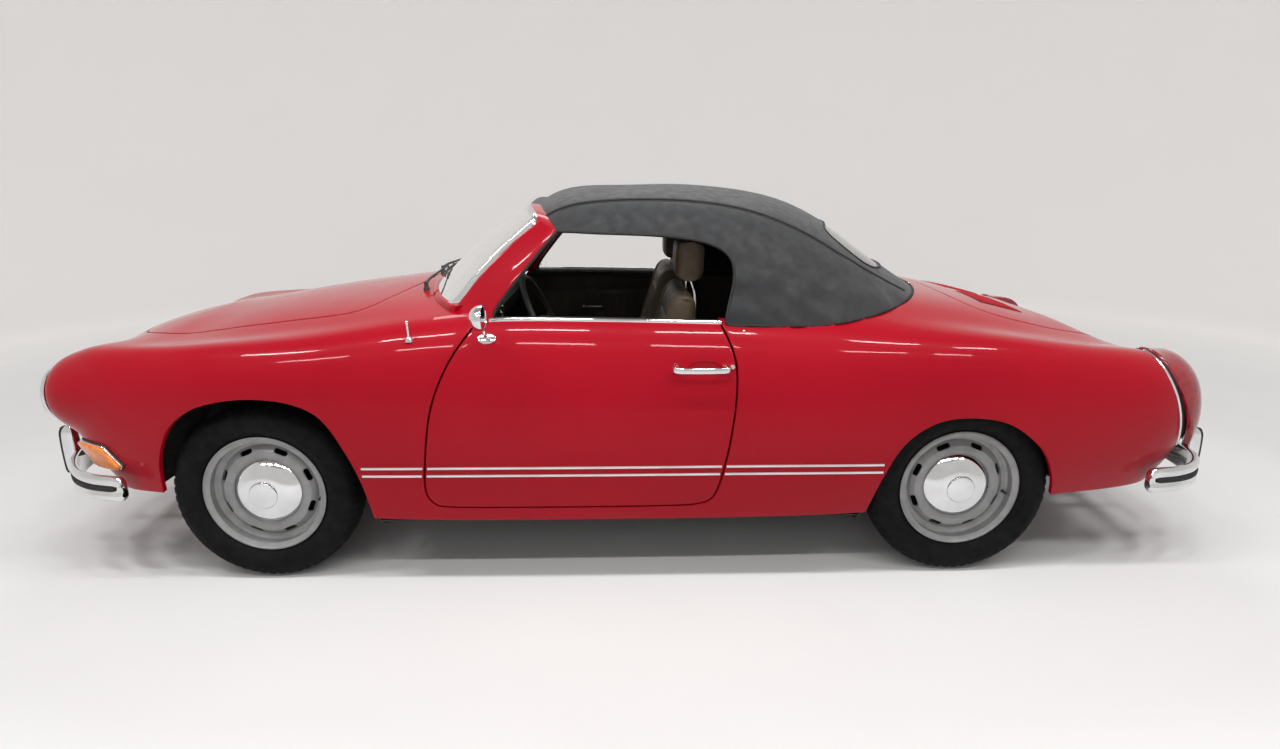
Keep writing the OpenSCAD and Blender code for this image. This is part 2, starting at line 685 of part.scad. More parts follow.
// Folding top.
window_line = [[-520, 860], [-445, 975], [-352, 1062], [-268, 1146], [-226, 1186], [-75, 1184],
    [120, 1176], [250, 1160], [330, 1132], [366, 1092], [368, 1030], [348, 950], [332, 880]];
rear_light = [[0, 1030], [300, 1034], [392, 1046], [404, 1070], [384, 1128], [350, 1166], [250, 1182],
    [0, 1186]];

module rear_light_cut(grow) {
    full = concat(rear_light, [for (k = [len(rear_light) - 1:-1:0]) [-rear_light[k][0],
        rear_light[k][1]]]);
    translate([px(740), 0, 0]) rotate([90, 0,
        90]) linear_extrude(420 * kx) offset(delta = grow) polygon([for (p = full) [p[0] * ky, p[1]]]);
}

module top_sheet(t0, t1) {
    both() slab(top_grid(t0), top_grid(t1));
}

module soft_top() {
    color(black) faceted() difference() {
        top_sheet(0, top_thickness);
        both() side_cut(window_line, 0, 500, 900);
        rear_light_cut(0);
        whole_body(-close_fit);
        both() side_cut(door_line, panel_gap, 560, 900);
        frame_room();
    }
}

// Room for the windscreen frame under the front edge of the top.
module frame_room() {
    both() {
        loft(grown(smooth_rings(header), 0.4));
        loft(grown(smooth_rings(pillar), 0.4));
    }
    glass_sheet(glass_thickness, 5);
}

function grown(rings,
    d) = [for (r = rings) let(c = (r[0] + r[1] + r[2] + r[3]) / 4) [for (p = r) p + d * 2 * unit(p - c)]];

module roof_bows() {
    color(black) faceted() difference() {
        intersection() {
            top_sheet(top_thickness + close_fit, top_thickness + 16);
            union() {
                for (x = [80, 470]) box([x, -700, 900], [x + 30, 700, 1400]);
            }
        }
        both() side_cut(window_line, 0, 500, 900);
        whole_body(-close_fit);
    }
}

module rear_window() {
    color(clear) faceted() intersection() {
        top_sheet(3, 7);
        rear_light_cut(-close_fit);
    }
}

// Cabin.
module dashboard() {
    color(black) {
        difference() {
            side_prism([[-668, 720], [-690, 850], [-640, 876], [-545, 872], [-508, 840], [-520, 780],
                [-560, 720]], -640, 640);
            on_column() translate([0, 0, -640]) cylinder(r = jacket_radius + close_fit, h = 620);
        }
        both() box([-650, 636, 740], [-612, 640, 800]);
    }
}

// The steering column leans back from upright by its tilt.
module on_column() {
    translate(pt(wheel_hub)) rotate([0, column_tilt, 0]) children();
}

module steering_column() {
    length = (px(wheel_hub[0]) - px(-1050)) / sin(column_tilt);
    color(black) on_column() difference() {
        translate([0, 0, -length]) cylinder(r = column_radius, h = length - 30);
        translate([0, 0, -60]) cylinder(r = 10 + run_fit, h = 40);
    }
    color(black) on_column() translate([0, 0, -240]) difference() {
        cylinder(r = jacket_radius, h = 170);
        translate([0, 0, -1]) cylinder(r = column_radius, h = 172);
    }
}

module steering_wheel() {
    r = steering_wheel_diameter / 2;
    color(black) on_column() {
        rotate_extrude() translate([r - 11, 10]) circle(r = 11);
        cylinder(r = 34, h = 30, center = true);
        translate([0, 0, -58]) cylinder(r = 10, h = 50);
        for (s = [-1, 1]) translate([-14, s * 30 - (s < 0 ? r - 46 : 0), -4]) cube([28, r - 46, 8]);
    }
}

module seat_base(y) {
    side_prism([[-470, 300], [-480, 300 + cushion_height - 20], [-440, 300 + cushion_height + 10],
        [20, 300 + cushion_height - 20], [60, 300]], y - seat_width / ky / 2, y + seat_width / ky / 2);
    for (s = [-1, 1]) box([-400, y + s * 190 - 12, floor_z + floor_thickness],
        [20, y + s * 190 + 12, 300]);
}

module front_seats() {
    color(tan) for (s = [-1, 1]) union() {
        seat_base(s * seat_y);
        side_prism([[-30, 400], [60, 300], [110, 330], [165, 520], [232, 760], [268, 900], [262, 960],
            [200, 985], [160, 955], [90, 740], [20, 520]], s * seat_y - seat_width / ky / 2,
            s * seat_y + seat_width / ky / 2);
    }
}

module headrests() {
    color(tan) for (s = [-1, 1]) {
        side_prism([[196, 1014], [186, 1050], [192, 1120], [214, 1144], [270, 1142], [292, 1118],
            [294, 1050], [284, 1016], [262, 1004], [214, 1004]], s * seat_y - 120, s * seat_y + 120);
        for (k = [-1, 1]) bar([240, s * seat_y + k * 60, 971], [240, s * seat_y + k * 60, 1010], 6);
    }
}

module rear_seat() {
    color(tan) union() {
        side_prism([[450, tunnel_top + close_fit], [430, 400], [470, 430], [770, 405.2], [819, 400],
            [819, tunnel_top + close_fit]], -520, 520);
        side_prism([[770, 405.2], [900, 800], [950, 815], [985, 790], [880, 405.2]], -520, 520);
    }
}

module levers_and_pedals() {
    color(black) {
        translate(pt([-340, 0, tunnel_top + close_fit])) cylinder(r = 38, h = 22);
        bar([-338, 0, 335], [-290, 0, 560], 7);
        translate(pt([-290, 0, 572])) sphere(r = 22);
        box([-200, -16, tunnel_top + close_fit], [-140, 16, 352]);
        bar([-165, 0, 340], [40, 0, 400], 12);
        for (y = [-365, -300, -225]) {
            box([-915, y - 9, floor_z + floor_thickness + close_fit], [-897, y + 9, 400]);
            box([-915, y - 26, 392], [-899, y + 26, 452]);
        }
    }
}

// Small outside pieces.
// How far the glass curves back from its middle.
function wiper_back(y) = 85 * pow(y / 500, 2);

module wiper(y, foot, reach) {
    post = [-768 + wiper_back(y), y, foot];
    mid = [-708 + wiper_back(y + reach), y + reach, 1003];
    lean = 170 * (y + reach) / 250000;
    bar(post, post + [0, 0, 30], 11);
    bar(post + [0, 0, 24], mid, 4);
    bar(mid - [lean * 190, 190, 0], mid + [lean * 190, 190, 0], 5);
}

module wipers() {
    color(black) {
        wiper(-330, 958.7, 200);
        wiper(90, 966.8, 200);
    }
}

module antenna() {
    color(chrome) faceted() difference() {
        union() {
            bar([-690, -746, 800], [-690, -752, 846], 11);
            bar([-690, -752, 846], [-690, -756, 925], 4);
        }
        half_body_left(-close_fit);
    }
}

module half_body_left(t) {
    mirror([0, 1, 0]) half_body(t);
}

module mirror_piece() {
    difference() {
        union() {
            bar([-440, 715, 868], [-440, 815, 915], 9);
            translate(pt([-440, 850, 948])) rotate([0, 90, 0]) cylinder(r = 52, h = 24, center = true);
            bar([-440, 815, 915], [-440, 845, 940], 9);
        }
        half_body(-close_fit);
    }
}

module door_mirror_right() {
    color(chrome) faceted() mirror_piece();
}

module door_mirror_left() {
    color(chrome) faceted() mirror([0, 1, 0]) mirror_piece();
}

module handle_piece() {
    difference() {
        union() {
            box([160, 780, 758], [200, 838, 786]);
            box([160, 826, 762], [346, 842, 782]);
            box([306, 780, 758], [342, 838, 786]);
        }
        half_body(-close_fit);
    }
}

module door_handle_right() {
    color(chrome) faceted() handle_piece();
}

module door_handle_left() {
    color(chrome) faceted() mirror([0, 1, 0]) handle_piece();
}

// Running gear.
module front_axle() {
    r = axle_tube_diameter / 2;
    color(black) both() {
        for (z = [axle_z - beam_offset, axle_z + beam_offset]) {
            across(beam_x, 0, 470, z, r);
            arm(z);
        }
        box([beam_x - 12, 250, axle_z - beam_offset + 10], [beam_x + 12, 270, axle_z + beam_offset - 10]);
        box([beam_x - 12, 330, axle_z + beam_offset + r - 3], [beam_x + 12, 380, 469.7]);
    }
}

module arm(z) {
    difference() {
        union() {
            translate([px(beam_x), py(452), z]) rotate([90, 0, 0]) cylinder(r = 34, h = 30,
                center = true);
            side_wedge(z);
            translate([px(front_axle_x), py(king_pin_y), z]) cylinder(r = 22, h = 24, center = true);
        }
        translate([px(front_axle_x), py(king_pin_y), z]) cylinder(r = king_pin_radius + run_fit, h = 60,
            center = true);
    }
}

module side_wedge(z) {
    translate([0, 0, z - 10]) linear_extrude(20) polygon([for (p = [[-1355, 440], [-1325, 440],
        [-1218, 566], [-1240, 592], [-1256, 584]]) [px(p[0]), py(p[1])]]);
}

module knuckle_half() {
    x = px(front_axle_x);
    y = py(king_pin_y);
    hub = front_track / 2;
    translate([x, y, axle_z - 95]) cylinder(r = king_pin_radius, h = 190);
    translate([x, y, axle_z - 58]) cylinder(r = 20, h = 116);
    translate([x, hub + 8, axle_z]) rotate([90, 0, 0]) cylinder(r = spindle_radius, h = hub + 8 - y);
    translate([x, y + 30, axle_z]) rotate([90, 0, 0]) cylinder(r = 112, h = 5);
}

module knuckle_right() {
    color(black) knuckle_half();
}

module knuckle_left() {
    color(black) mirror([0, 1, 0]) knuckle_half();
}

module rear_axle() {
    hub = rear_track / 2;
    color(black) both() {
        across(torsion_x, 0, 540, torsion_z, torsion_radius);
        box([832.3, 400, 240], [880, 425, 284]);
        side_prism([[860, 240], [860, 284], [1130, axle_z + 20], [1200, axle_z + 26],
            [1200, axle_z - 26], [1130, axle_z - 24]], 500, 516);
        translate([px(rear_axle_x), py(516) + 40, axle_z]) rotate([90, 0, 0]) cylinder(r = 48,
            h = 40 + py(516) - py(499));
        translate([px(rear_axle_x), hub + 8, axle_z]) rotate([90, 0, 0]) cylinder(r = spindle_radius,
            h = hub + 8 - py(516));
        translate([px(rear_axle_x), py(499), axle_z]) rotate([90, 0, 0]) cylinder(r = 17,
            h = py(499) - py(130));
        translate([px(rear_axle_x), py(130) + 50, axle_z]) rotate([90, 0, 0]) cylinder(r = 42, h = 50);
    }
}

module gearbox() {
    color(silver) difference() {
        union() {
            box([905, -75, 240], [1090, 75, 385]);
            box([1090, -128, 205], [1290, 128, 392]);
        }
        across(torsion_x, -200, 200, torsion_z, torsion_radius + close_fit);
    }
}

module engine() {
    color([0.25, 0.25, 0.26]) box([1290.3, -330, 205], [1760, 330, 640]);
}

module exhaust() {
    r = silencer_diameter / 2;
    color(silver) {
        across(1840, -300, 300, 262, r);
        for (s = [-1, 1]) {
            bar([1760 + close_fit, s * 230, 262], [1850, s * 230, 262], 24);
            bar([1840, s * 180, 225], [2060, s * 180, 212], 17);
        }
    }
}

// Wheels, drawn at the origin with +Z towards the outside of the car.
module tyre_shape() {
    r = tyre_diameter / 2;
    w = tyre_width / 2;
    rotate_extrude() polygon([[191.3, -w + 29], [191.3, w - 29], [212, w - 24], [220, w - 12],
        [238, w - 3], [258, w], [280, w - 3], [r - 17, w - 14], [r - 6, w - 27], [r - 1, w - 48],
        [r, 0], [r - 1, 48 - w], [r - 6, 27 - w], [r - 17, 14 - w], [280, 3 - w], [258, -w],
        [238, 3 - w], [220, 12 - w], [212, 24 - w]]);
}

module wheel_shape() {
    difference() {
        union() {
            rotate_extrude() polygon([[191, -58], [191, -34], [168, -26], [168, 14], [191, 26],
                [191, 56], [207, 60], [208, 66], [203, 68], [198, 64], [187, 59], [187, 30], [178, 24],
                [168, 22], [160, 30], [148, 40], [130, 44], [104, 34], [40, 34], [40, 44], [26, 44],
                [26, 20], [40, 20], [40, 29], [106, 29], [132, 38], [146, 34], [164, 16], [164, -28],
                [187, -38], [187, -59], [198, -64], [208, -66], [207, -60]]);
            rotate_extrude() polygon([[spindle_radius + run_fit, -38], [spindle_radius + run_fit, 22],
                [26.2, 22], [26.2, 30], [96, 28.8], [96, 24], [120, 20], [120, -36], [115, -36],
                [115, 14], [40, 18], [30, -38]]);
        }
        for (k = [0:7]) rotate([0, 0, k * 45 + 22.5]) slot();
        for (k = [0:3]) rotate([0, 0, k * 90 + 45]) translate([bolt_circle / 2, 0,
            -60]) cylinder(r = bolt_hole_radius, h = 160);
    }
}

module slot() {
    translate([153, 0, 0]) {
        for (s = [-1, 1]) translate([0, s * 15, 20]) cylinder(r = 8, h = 40);
        translate([-8, -15, 20]) cube([16, 30, 40]);
    }
}

module hub_cap_shape() {
    r = hub_cap_radius;
    rotate_extrude() polygon([[0, 80], [46, 78], [48, 74], [80, 68], [r - 14, 54], [r - 3, 45], [r, 41],
        [r - 3, 38.6], [r - 6, 42.4], [r - 16, 50], [78, 64], [0, 72]]);
}

module at_wheel(x, track, side) {
    mirror([0, side > 0 ? 1 : 0, 0]) translate([px(x), -track / 2, axle_z]) rotate([90, 0, 0]) children();
}

module front_wheel(side) {
    at_wheel(front_axle_x, front_track, side) children();
}

module rear_wheel(side) {
    at_wheel(rear_axle_x, rear_track, side) children();
}

module tyre_front_left() {
    color(black) front_wheel(-1) tyre_shape();
}

module tyre_front_right() {
    color(black) front_wheel(1) tyre_shape();
}

module tyre_rear_left() {
    color(black) rear_wheel(-1) tyre_shape();
}

module tyre_rear_right() {
    color(black) rear_wheel(1) tyre_shape();
}

module wheel_front_left() {
    color(silver) front_wheel(-1) wheel_shape();
}

module wheel_front_right() {
    color(silver) front_wheel(1) wheel_shape();
}

module wheel_rear_left() {
    color(silver) rear_wheel(-1) wheel_shape();
}

module wheel_rear_right() {
    color(silver) rear_wheel(1) wheel_shape();
}

module hub_cap_front_left() {
    color(chrome) front_wheel(-1) hub_cap_shape();
}

module hub_cap_front_right() {
    color(chrome) front_wheel(1) hub_cap_shape();
}

module hub_cap_rear_left() {
    color(chrome) rear_wheel(-1) hub_cap_shape();
}

module hub_cap_rear_right() {
    color(chrome) rear_wheel(1) hub_cap_shape();
}

front_body();
rear_body();
sills();
wheel_houses();
floor_pan();
front_trunk();
windscreen_frame();
windscreen_glass();
soft_top();
roof_bows();
rear_window();
dashboard();
steering_column();
front_seats();
headrests();
rear_seat();
levers_and_pedals();
wipers();
antenna();
front_bumper();
rear_bumper();
headlamps();
turn_signals();
tail_lights();
front_axle();
rear_axle();
gearbox();
engine();
exhaust();
hood();
engine_lid();
door_left();
door_right();
door_mirror_left();
door_mirror_right();
door_handle_left();
door_handle_right();
steering_wheel();
knuckle_left();
knuckle_right();
tyre_front_left();
tyre_front_right();
tyre_rear_left();
tyre_rear_right();
wheel_front_left();
wheel_front_right();
wheel_rear_left();
wheel_rear_right();
hub_cap_front_left();
hub_cap_front_right();
hub_cap_rear_left();
hub_cap_rear_right();
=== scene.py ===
import json
import math
import bpy
import bmesh
import numpy as np
from mathutils import Matrix, Vector
from mathutils.bvhtree import BVHTree


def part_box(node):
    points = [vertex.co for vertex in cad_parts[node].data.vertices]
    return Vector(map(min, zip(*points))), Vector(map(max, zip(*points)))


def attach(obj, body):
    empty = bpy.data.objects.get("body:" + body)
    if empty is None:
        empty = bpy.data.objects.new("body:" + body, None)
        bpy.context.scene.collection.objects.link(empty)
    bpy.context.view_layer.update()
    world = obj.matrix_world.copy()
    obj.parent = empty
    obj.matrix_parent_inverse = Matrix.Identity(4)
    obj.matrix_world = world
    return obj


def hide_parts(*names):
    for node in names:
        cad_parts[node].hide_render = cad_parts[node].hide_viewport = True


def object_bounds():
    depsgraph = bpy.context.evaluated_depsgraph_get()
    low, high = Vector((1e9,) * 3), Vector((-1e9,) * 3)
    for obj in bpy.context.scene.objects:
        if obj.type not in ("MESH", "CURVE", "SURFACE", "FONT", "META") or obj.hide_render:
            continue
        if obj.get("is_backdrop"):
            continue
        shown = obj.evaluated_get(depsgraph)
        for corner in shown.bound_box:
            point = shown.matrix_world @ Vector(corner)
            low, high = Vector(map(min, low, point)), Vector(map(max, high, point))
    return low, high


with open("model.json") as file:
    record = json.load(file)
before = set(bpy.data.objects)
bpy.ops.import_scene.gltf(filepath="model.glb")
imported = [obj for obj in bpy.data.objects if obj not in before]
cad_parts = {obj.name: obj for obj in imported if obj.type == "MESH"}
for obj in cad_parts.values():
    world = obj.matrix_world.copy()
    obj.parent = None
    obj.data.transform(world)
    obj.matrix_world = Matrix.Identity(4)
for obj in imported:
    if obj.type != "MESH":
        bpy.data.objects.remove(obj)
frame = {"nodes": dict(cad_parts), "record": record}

CAD_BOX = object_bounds()
LEFT, RIGHT = -1, 1
MM = 0.001
DATUM = 40


# ---------------------------------------------------------------- drawing stations and curves

def pt(x, y, z):
    """A station of the body drawing, in millimetres, as a point in metres."""
    return np.array([(x - DATUM) * MM, y * MM, z * MM])


def pts(rows):
    return np.array([pt(*row) for row in rows])


def side_line(rows, steps=1):
    """A line drawn from the side (x, z), smoothed through its points, in metres."""
    line = np.array([[(x - DATUM) * MM, z * MM] for x, z in rows])
    return through(line, steps)


def plan_line(rows, steps=1):
    """A line drawn from above (x, y), with its mirror image, in metres."""
    line = through(np.array([[(x - DATUM) * MM, y * MM] for x, y in rows]), steps)
    return np.concatenate([line, line[::-1] * [1, -1]])


def through(p, steps):
    """A smooth line through the points p."""
    p = np.asarray(p, float)
    if steps == 1:
        return p
    q = np.concatenate([p[:1], p, p[-1:]])
    t = (np.arange(steps) / steps).reshape(-1, *[1] * (p.ndim - 1))
    out = []
    for a, b, c, d in zip(q[:-3], q[1:-2], q[2:-1], q[3:]):
        out.append((2 * b + (c - a) * t + (2 * a - 5 * b + 4 * c - d) * t ** 2
                    + (3 * b - a - 3 * c + d) * t ** 3) / 2)
    return np.concatenate(out + [p[-1:]])


def ease(t):
    c = np.clip(t, 0, 1)
    return c * c * (3 - 2 * c)


def unit(v):
    return v / np.maximum(np.linalg.norm(v, axis=-1, keepdims=True), 1e-12)


def depth_inside(p, line):
    """Distance from each 2-D point to a closed line: positive inside it, negative outside."""
    a = line
    d = np.roll(line, -1, axis=0) - a
    keep = (d ** 2).sum(1) > 1e-14
    a, d = a[keep], d[keep]
    out = np.empty(len(p))
    for k in range(0, len(p), 20000):
        q = p[k:k + 20000]
        rel = q[:, None] - a[None]
        t = np.clip((rel * d).sum(-1) / (d * d).sum(-1), 0, 1)
        far = np.linalg.norm(rel - t[..., None] * d, axis=-1).min(1)
        with np.errstate(divide="ignore", invalid="ignore"):
            cross = ((a[:, 1] > q[:, 1:]) != ((a + d)[:, 1] > q[:, 1:])) & (
                q[:, :1] < a[:, 0] + (q[:, 1:] - a[:, 1]) * d[:, 0] / d[:, 1])
        out[k:k + 20000] = np.where(cross.sum(1) % 2 == 1, far, -far)
    return out


class Net:
    """A smooth surface from a net of control points: ribs along u, lines along v."""

    def __init__(self, ribs, closed):
        ribs = [[np.array(p, float) for p in rib] for rib in ribs]
        rows = [[self.flip(r[1])] + r + [2 * r[-1] - r[-2]] for r in ribs]
        net = np.array(rows)
        if closed:
            ends = [net[1] * [1, -1, 1], net[-2] * [1, -1, 1]]
        else:
            ends = [2 * net[0] - net[1], 2 * net[-1] - net[-2]]
        self.net = np.concatenate([ends[:1], net, ends[1:]])
        self.us, self.vs = len(ribs) - 1, len(ribs[0]) - 1
        self.shape = lambda p: p

    @staticmethod
    def flip(p):
        return p * np.array([1, -1, 1])

    @staticmethod
    def weights(t, last):
        i = np.minimum(np.floor(t), last - 1).astype(int)
        f = t - i
        g = 1 - f
        w = np.stack([g ** 3, 3 * f ** 3 - 6 * f ** 2 + 4,
                      3 * f + 3 * f ** 2 - 3 * f ** 3 + 1, f ** 3]) / 6
        return i, w

    def at(self, uv):
        """Points in metres, half of the surface, on the side of +Y."""
        i, wu = self.weights(uv[:, 0], self.us)
        j, wv = self.weights(uv[:, 1], self.vs)
        out = np.zeros((len(uv), 3))
        for a in range(4):
            for b in range(4):
                out += (wu[a] * wv[b])[:, None] * self.net[i + a, j + b]
        out = self.shape(out)
        out[:, 1] = np.where(uv[:, 1] < 1e-9, 0, np.maximum(out[:, 1], 0))
        return (out - [DATUM, 0, 0]) * MM

    def normals(self, uv, step=0.02):
        lo, hi = np.clip(uv - [step, 0], 0, None), np.minimum(uv + [step, 0], [self.us, self.vs])
        du = self.at(hi) - self.at(lo)
        lo, hi = np.clip(uv - [0, step], 0, None), np.minimum(uv + [0, step], [self.us, self.vs])
        dv = self.at(hi) - self.at(lo)
        return unit(np.cross(du, dv))

    def grid(self, density, u0=0, u1=None, v0=0, v1=None):
        """Parameters and triangles of an even grid."""
        u1 = self.us if u1 is None else u1
        v1 = self.vs if v1 is None else v1
        nu, nv = round((u1 - u0) * density), round((v1 - v0) * density)
        u, v = np.meshgrid(np.linspace(u0, u1, nu + 1), np.linspace(v0, v1, nv + 1), indexing="ij")
        k = np.arange((nu + 1) * (nv + 1)).reshape(nu + 1, nv + 1)
        a, b, c, d = k[:-1, :-1], k[:-1, 1:], k[1:, 1:], k[1:, :-1]
        tris = np.concatenate([np.stack([a, c, b], -1).reshape(-1, 3),
                               np.stack([a, d, c], -1).reshape(-1, 3)])
        return np.stack([u.ravel(), v.ravel()], 1), tris


# ---------------------------------------------------------------- mesh tools

def cut_grid(uv, tris, place, field):
    """Keeps the part of a triangle grid where field is positive, cut exactly on its zero line."""
    s = field(place(uv))
    on = s > 0
    count = on[tris].sum(1)
    mixed = tris[(count == 1) | (count == 2)]
    alone = count[(count == 1) | (count == 2)] == 1
    odd = np.argmax(np.where(alone[:, None], on[mixed], ~on[mixed]), axis=1)
    r = np.arange(len(mixed))
    a, b, c = (mixed[r, (odd + k) % 3] for k in range(3))
    edges = np.sort(np.concatenate([np.stack([a, b], 1), np.stack([a, c], 1)]), axis=1)
    pairs, where = np.unique(edges, axis=0, return_inverse=True)
    where = where.ravel()
    p0, p1 = uv[pairs[:, 0]], uv[pairs[:, 1]]
    t0, t1 = np.zeros(len(pairs)), np.ones(len(pairs))
    f0 = s[pairs[:, 0]].copy()
    for _ in range(12):
        t = (t0 + t1) / 2
        f = field(place(p0 + t[:, None] * (p1 - p0)))
        same = (f > 0) == (f0 > 0)
        t0, t1 = np.where(same, t, t0), np.where(same, t1, t)
    t = ((t0 + t1) / 2)[:, None]
    n = len(uv)
    ab, ac = n + where[:len(mixed)], n + where[len(mixed):]
    lone = np.stack([a, ab, ac], 1)[alone]
    pair = np.concatenate([np.stack([ab, b, c], 1)[~alone], np.stack([ab, c, ac], 1)[~alone]])
    uv = np.concatenate([uv, p0 + t * (p1 - p0)])
    tris = np.concatenate([tris[count == 3], lone, pair])
    used, tris = np.unique(tris, return_inverse=True)
    return uv[used], tris.reshape(-1, 3)


def weld(points, tris, near=2e-5):
    """Joins points that coincide and drops triangles that vanish."""
    key = np.round(points / near).astype(np.int64)
    _, first, where = np.unique(key, axis=0, return_index=True, return_inverse=True)
    tris = where.ravel()[tris]
    good = (tris[:, 0] != tris[:, 1]) & (tris[:, 1] != tris[:, 2]) & (tris[:, 0] != tris[:, 2])
    return points[first], tris[good]


def mirrored(points, tris):
    return points * [1, -1, 1], tris[:, ::-1]


def both_sides(points, tris):
    p, t = mirrored(points, tris)
    return weld(np.concatenate([points, p]), np.concatenate([tris, t + len(points)]))


def vertex_normals(points, tris):
    a, b, c = (points[tris[:, k]] for k in range(3))
    face = np.cross(b - a, c - a)
    n = np.zeros_like(points)
    for k in range(3):
        np.add.at(n, tris[:, k], face)
    soft = n.copy()
    for k in range(3):
        np.add.at(soft, tris[:, k], 0.15 * n[tris[:, (k + 1) % 3]])
        np.add.at(soft, tris[:, (k + 1) % 3], 0.15 * n[tris[:, k]])
    return unit(soft)


def rim_edges(tris):
    """Directed edges that only one triangle has."""
    e = np.concatenate([tris[:, [0, 1]], tris[:, [1, 2]], tris[:, [2, 0]]])
    key = np.sort(e, axis=1)
    _, where, n = np.unique(key, axis=0, return_inverse=True, return_counts=True)
    return e[n[where.ravel()] == 1]


def loops_of(edges):
    """Closed or open chains of the directed edges."""
    after = dict(edges.tolist())
    starts = set(after) - set(after.values())
    out = []
    while after:
        k = starts.pop() if starts else next(iter(after))
        chain = [k]
        while k in after:
            k = after.pop(k)
            chain.append(k)
        out.append(chain)
    return out


def rolled(points, tris, radius=2.2 * MM, depth=14 * MM, drop=None, steps=3):
    """A skin with rolled edges, a flange of that depth and an inner face: one closed shell.
    drop(points, normals) may give another vector for the flange at each rim point."""
    n = vertex_normals(points, tris)
    rim = rim_edges(tris)
    out = np.zeros_like(points)
    way = points[rim[:, 1]] - points[rim[:, 0]]
    for k in range(2):
        np.add.at(out, rim[:, k], np.cross(way, n[rim[:, k]]))
    ids = np.unique(rim)
    for _ in range(2):
        near = out.copy()
        np.add.at(near, rim[:, 0], 0.5 * out[rim[:, 1]])
        np.add.at(near, rim[:, 1], 0.5 * out[rim[:, 0]])
        out = near
    b, m, p = unit(out[ids]), n[ids], points[ids]
    fall = -m * depth if drop is None else drop(p, m)
    rings = [p + radius * math.sin(a) * b - radius * (1 - math.cos(a)) * m
             for a in (math.pi / 2 * k / steps for k in range(1, steps + 1))]
    rings += [rings[-1] + fall]
    inner = points - n * (depth + radius)
    inner[ids] = p - m * radius + fall
    slot = np.full(len(points), -1)
    slot[ids] = np.arange(len(ids))
    layers, verts, base = [rim], [points], len(points)
    for ring in rings:
        layers.append(slot[rim] + base)
        verts.append(ring)
        base += len(ring)
    layers.append(rim + base)
    verts.append(inner)
    faces = [tris]
    for near, far in zip(layers[:-1], layers[1:]):
        faces.append(np.stack([near[:, 1], near[:, 0], far[:, 0]], 1))
        faces.append(np.stack([near[:, 1], far[:, 0], far[:, 1]], 1))
    faces.append(tris[:, ::-1] + base)
    return np.concatenate(verts), np.concatenate(faces)


def mesh_piece(name, points, faces, material, body, replaces=(), sharp=40):
    """A smooth mesh object that rides on a body."""
    mesh = bpy.data.meshes.new(name)
    faces = faces.tolist() if isinstance(faces, np.ndarray) else faces
    mesh.from_pydata(np.asarray(points).tolist(), [], faces)
    mesh.validate()
    obj = bpy.data.objects.new(name, mesh)
    bpy.context.scene.collection.objects.link(obj)
    materials = material if isinstance(material, list) else [material]
    for m in materials:
        mesh.materials.append(m)
    shade(obj, sharp)
    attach(obj, body)
    if replaces:
        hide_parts(*replaces)
    return obj


def shade(obj, sharp=40):
    """Smooth shading with hard edges where faces meet at more than the angle."""
    bm = bmesh.new()
    bm.from_mesh(obj.data)
    bmesh.ops.remove_doubles(bm, verts=bm.verts, dist=1e-6)
    for f in bm.faces:
        f.smooth = True
    limit = math.radians(sharp)
    for e in bm.edges:
        e.smooth = e.calc_face_angle(0) < limit
    bm.to_mesh(obj.data)
    bm.free()


def joined(*parts):
    """Several (points, faces) as one; faces may be arrays or lists of any length."""
    points, faces, base = [], [], 0
    for p, f in parts:
        points.append(np.asarray(p, float))
        faces += [tuple(int(k) + base for k in face) for face in f]
        base += len(p)
    return np.concatenate(points), faces


def skin(rings, closed=True, caps=True):
    """Quads over rings of points; closed joins each ring's ends."""
    rings = np.asarray(rings, float)
    n, m = rings.shape[:2]
    faces = []
    for i in range(n - 1):
        for j in range(m if closed else m - 1):
            k = (j + 1) % m
            faces.append((i * m + j, i * m + k, i * m + m + k, i * m + m + j))
    if caps and closed:
        faces.append(tuple(range(m - 1, -1, -1)))
        faces.append(tuple(range((n - 1) * m, n * m)))
    return rings.reshape(-1, 3), faces


def frames_along(path, closed=False, up=(0, 0, 1)):
    """Direction, side and top vectors at each point of a path."""
    path = np.asarray(path, float)
    if closed:
        d = unit(np.roll(path, -1, axis=0) - np.roll(path, 1, axis=0))
    else:
        d = unit(np.gradient(path, axis=0))
    up = np.broadcast_to(np.asarray(up, float), path.shape)
    side = unit(np.cross(d, up))
    return d, side, unit(np.cross(side, d))


def round_angles(count):
    return np.arange(count) * 2 * math.pi / count


def tube(path, radius, sides=10, closed=False, taper=None, up=(0, 0, 1)):
    """A round tube along a path, with rounded ends."""
    path = np.asarray(path, float)
    d, side, top = frames_along(path, closed, up)
    a = round_angles(sides)
    r = np.full(len(path), radius) if taper is None else radius * np.asarray(taper)
    ring = np.cos(a)[None, :, None] * side[:, None] + np.sin(a)[None, :, None] * top[:, None]
    rings = path[:, None] + ring * r[:, None, None]
    if closed:
        return skin(np.concatenate([rings, rings[:1]]), caps=False)
    ends = []
    for k, way in ((0, -1), (-1, 1)):
        ends.append([path[k] + way * d[k] * r[k] * math.sin(t) + (rings[k] - path[k]) * math.cos(t)
                     for t in (0.5, 1.1, 1.5)])
    rings = np.concatenate([ends[0][::-1], rings, ends[1]])
    return skin(rings)


def swept(path, section, closed=False, up=(0, 0, 1)):
    """A section of (side, top) offsets swept along a path."""
    path = np.asarray(path, float)
    _, side, top = frames_along(path, closed, up)
    section = np.asarray(section, float)
    rings = path[:, None] + section[None, :, :1] * side[:, None] + section[None, :, 1:] * top[:, None]
    if closed:
        rings = np.concatenate([rings, rings[:1]])
    return skin(rings, caps=not closed)


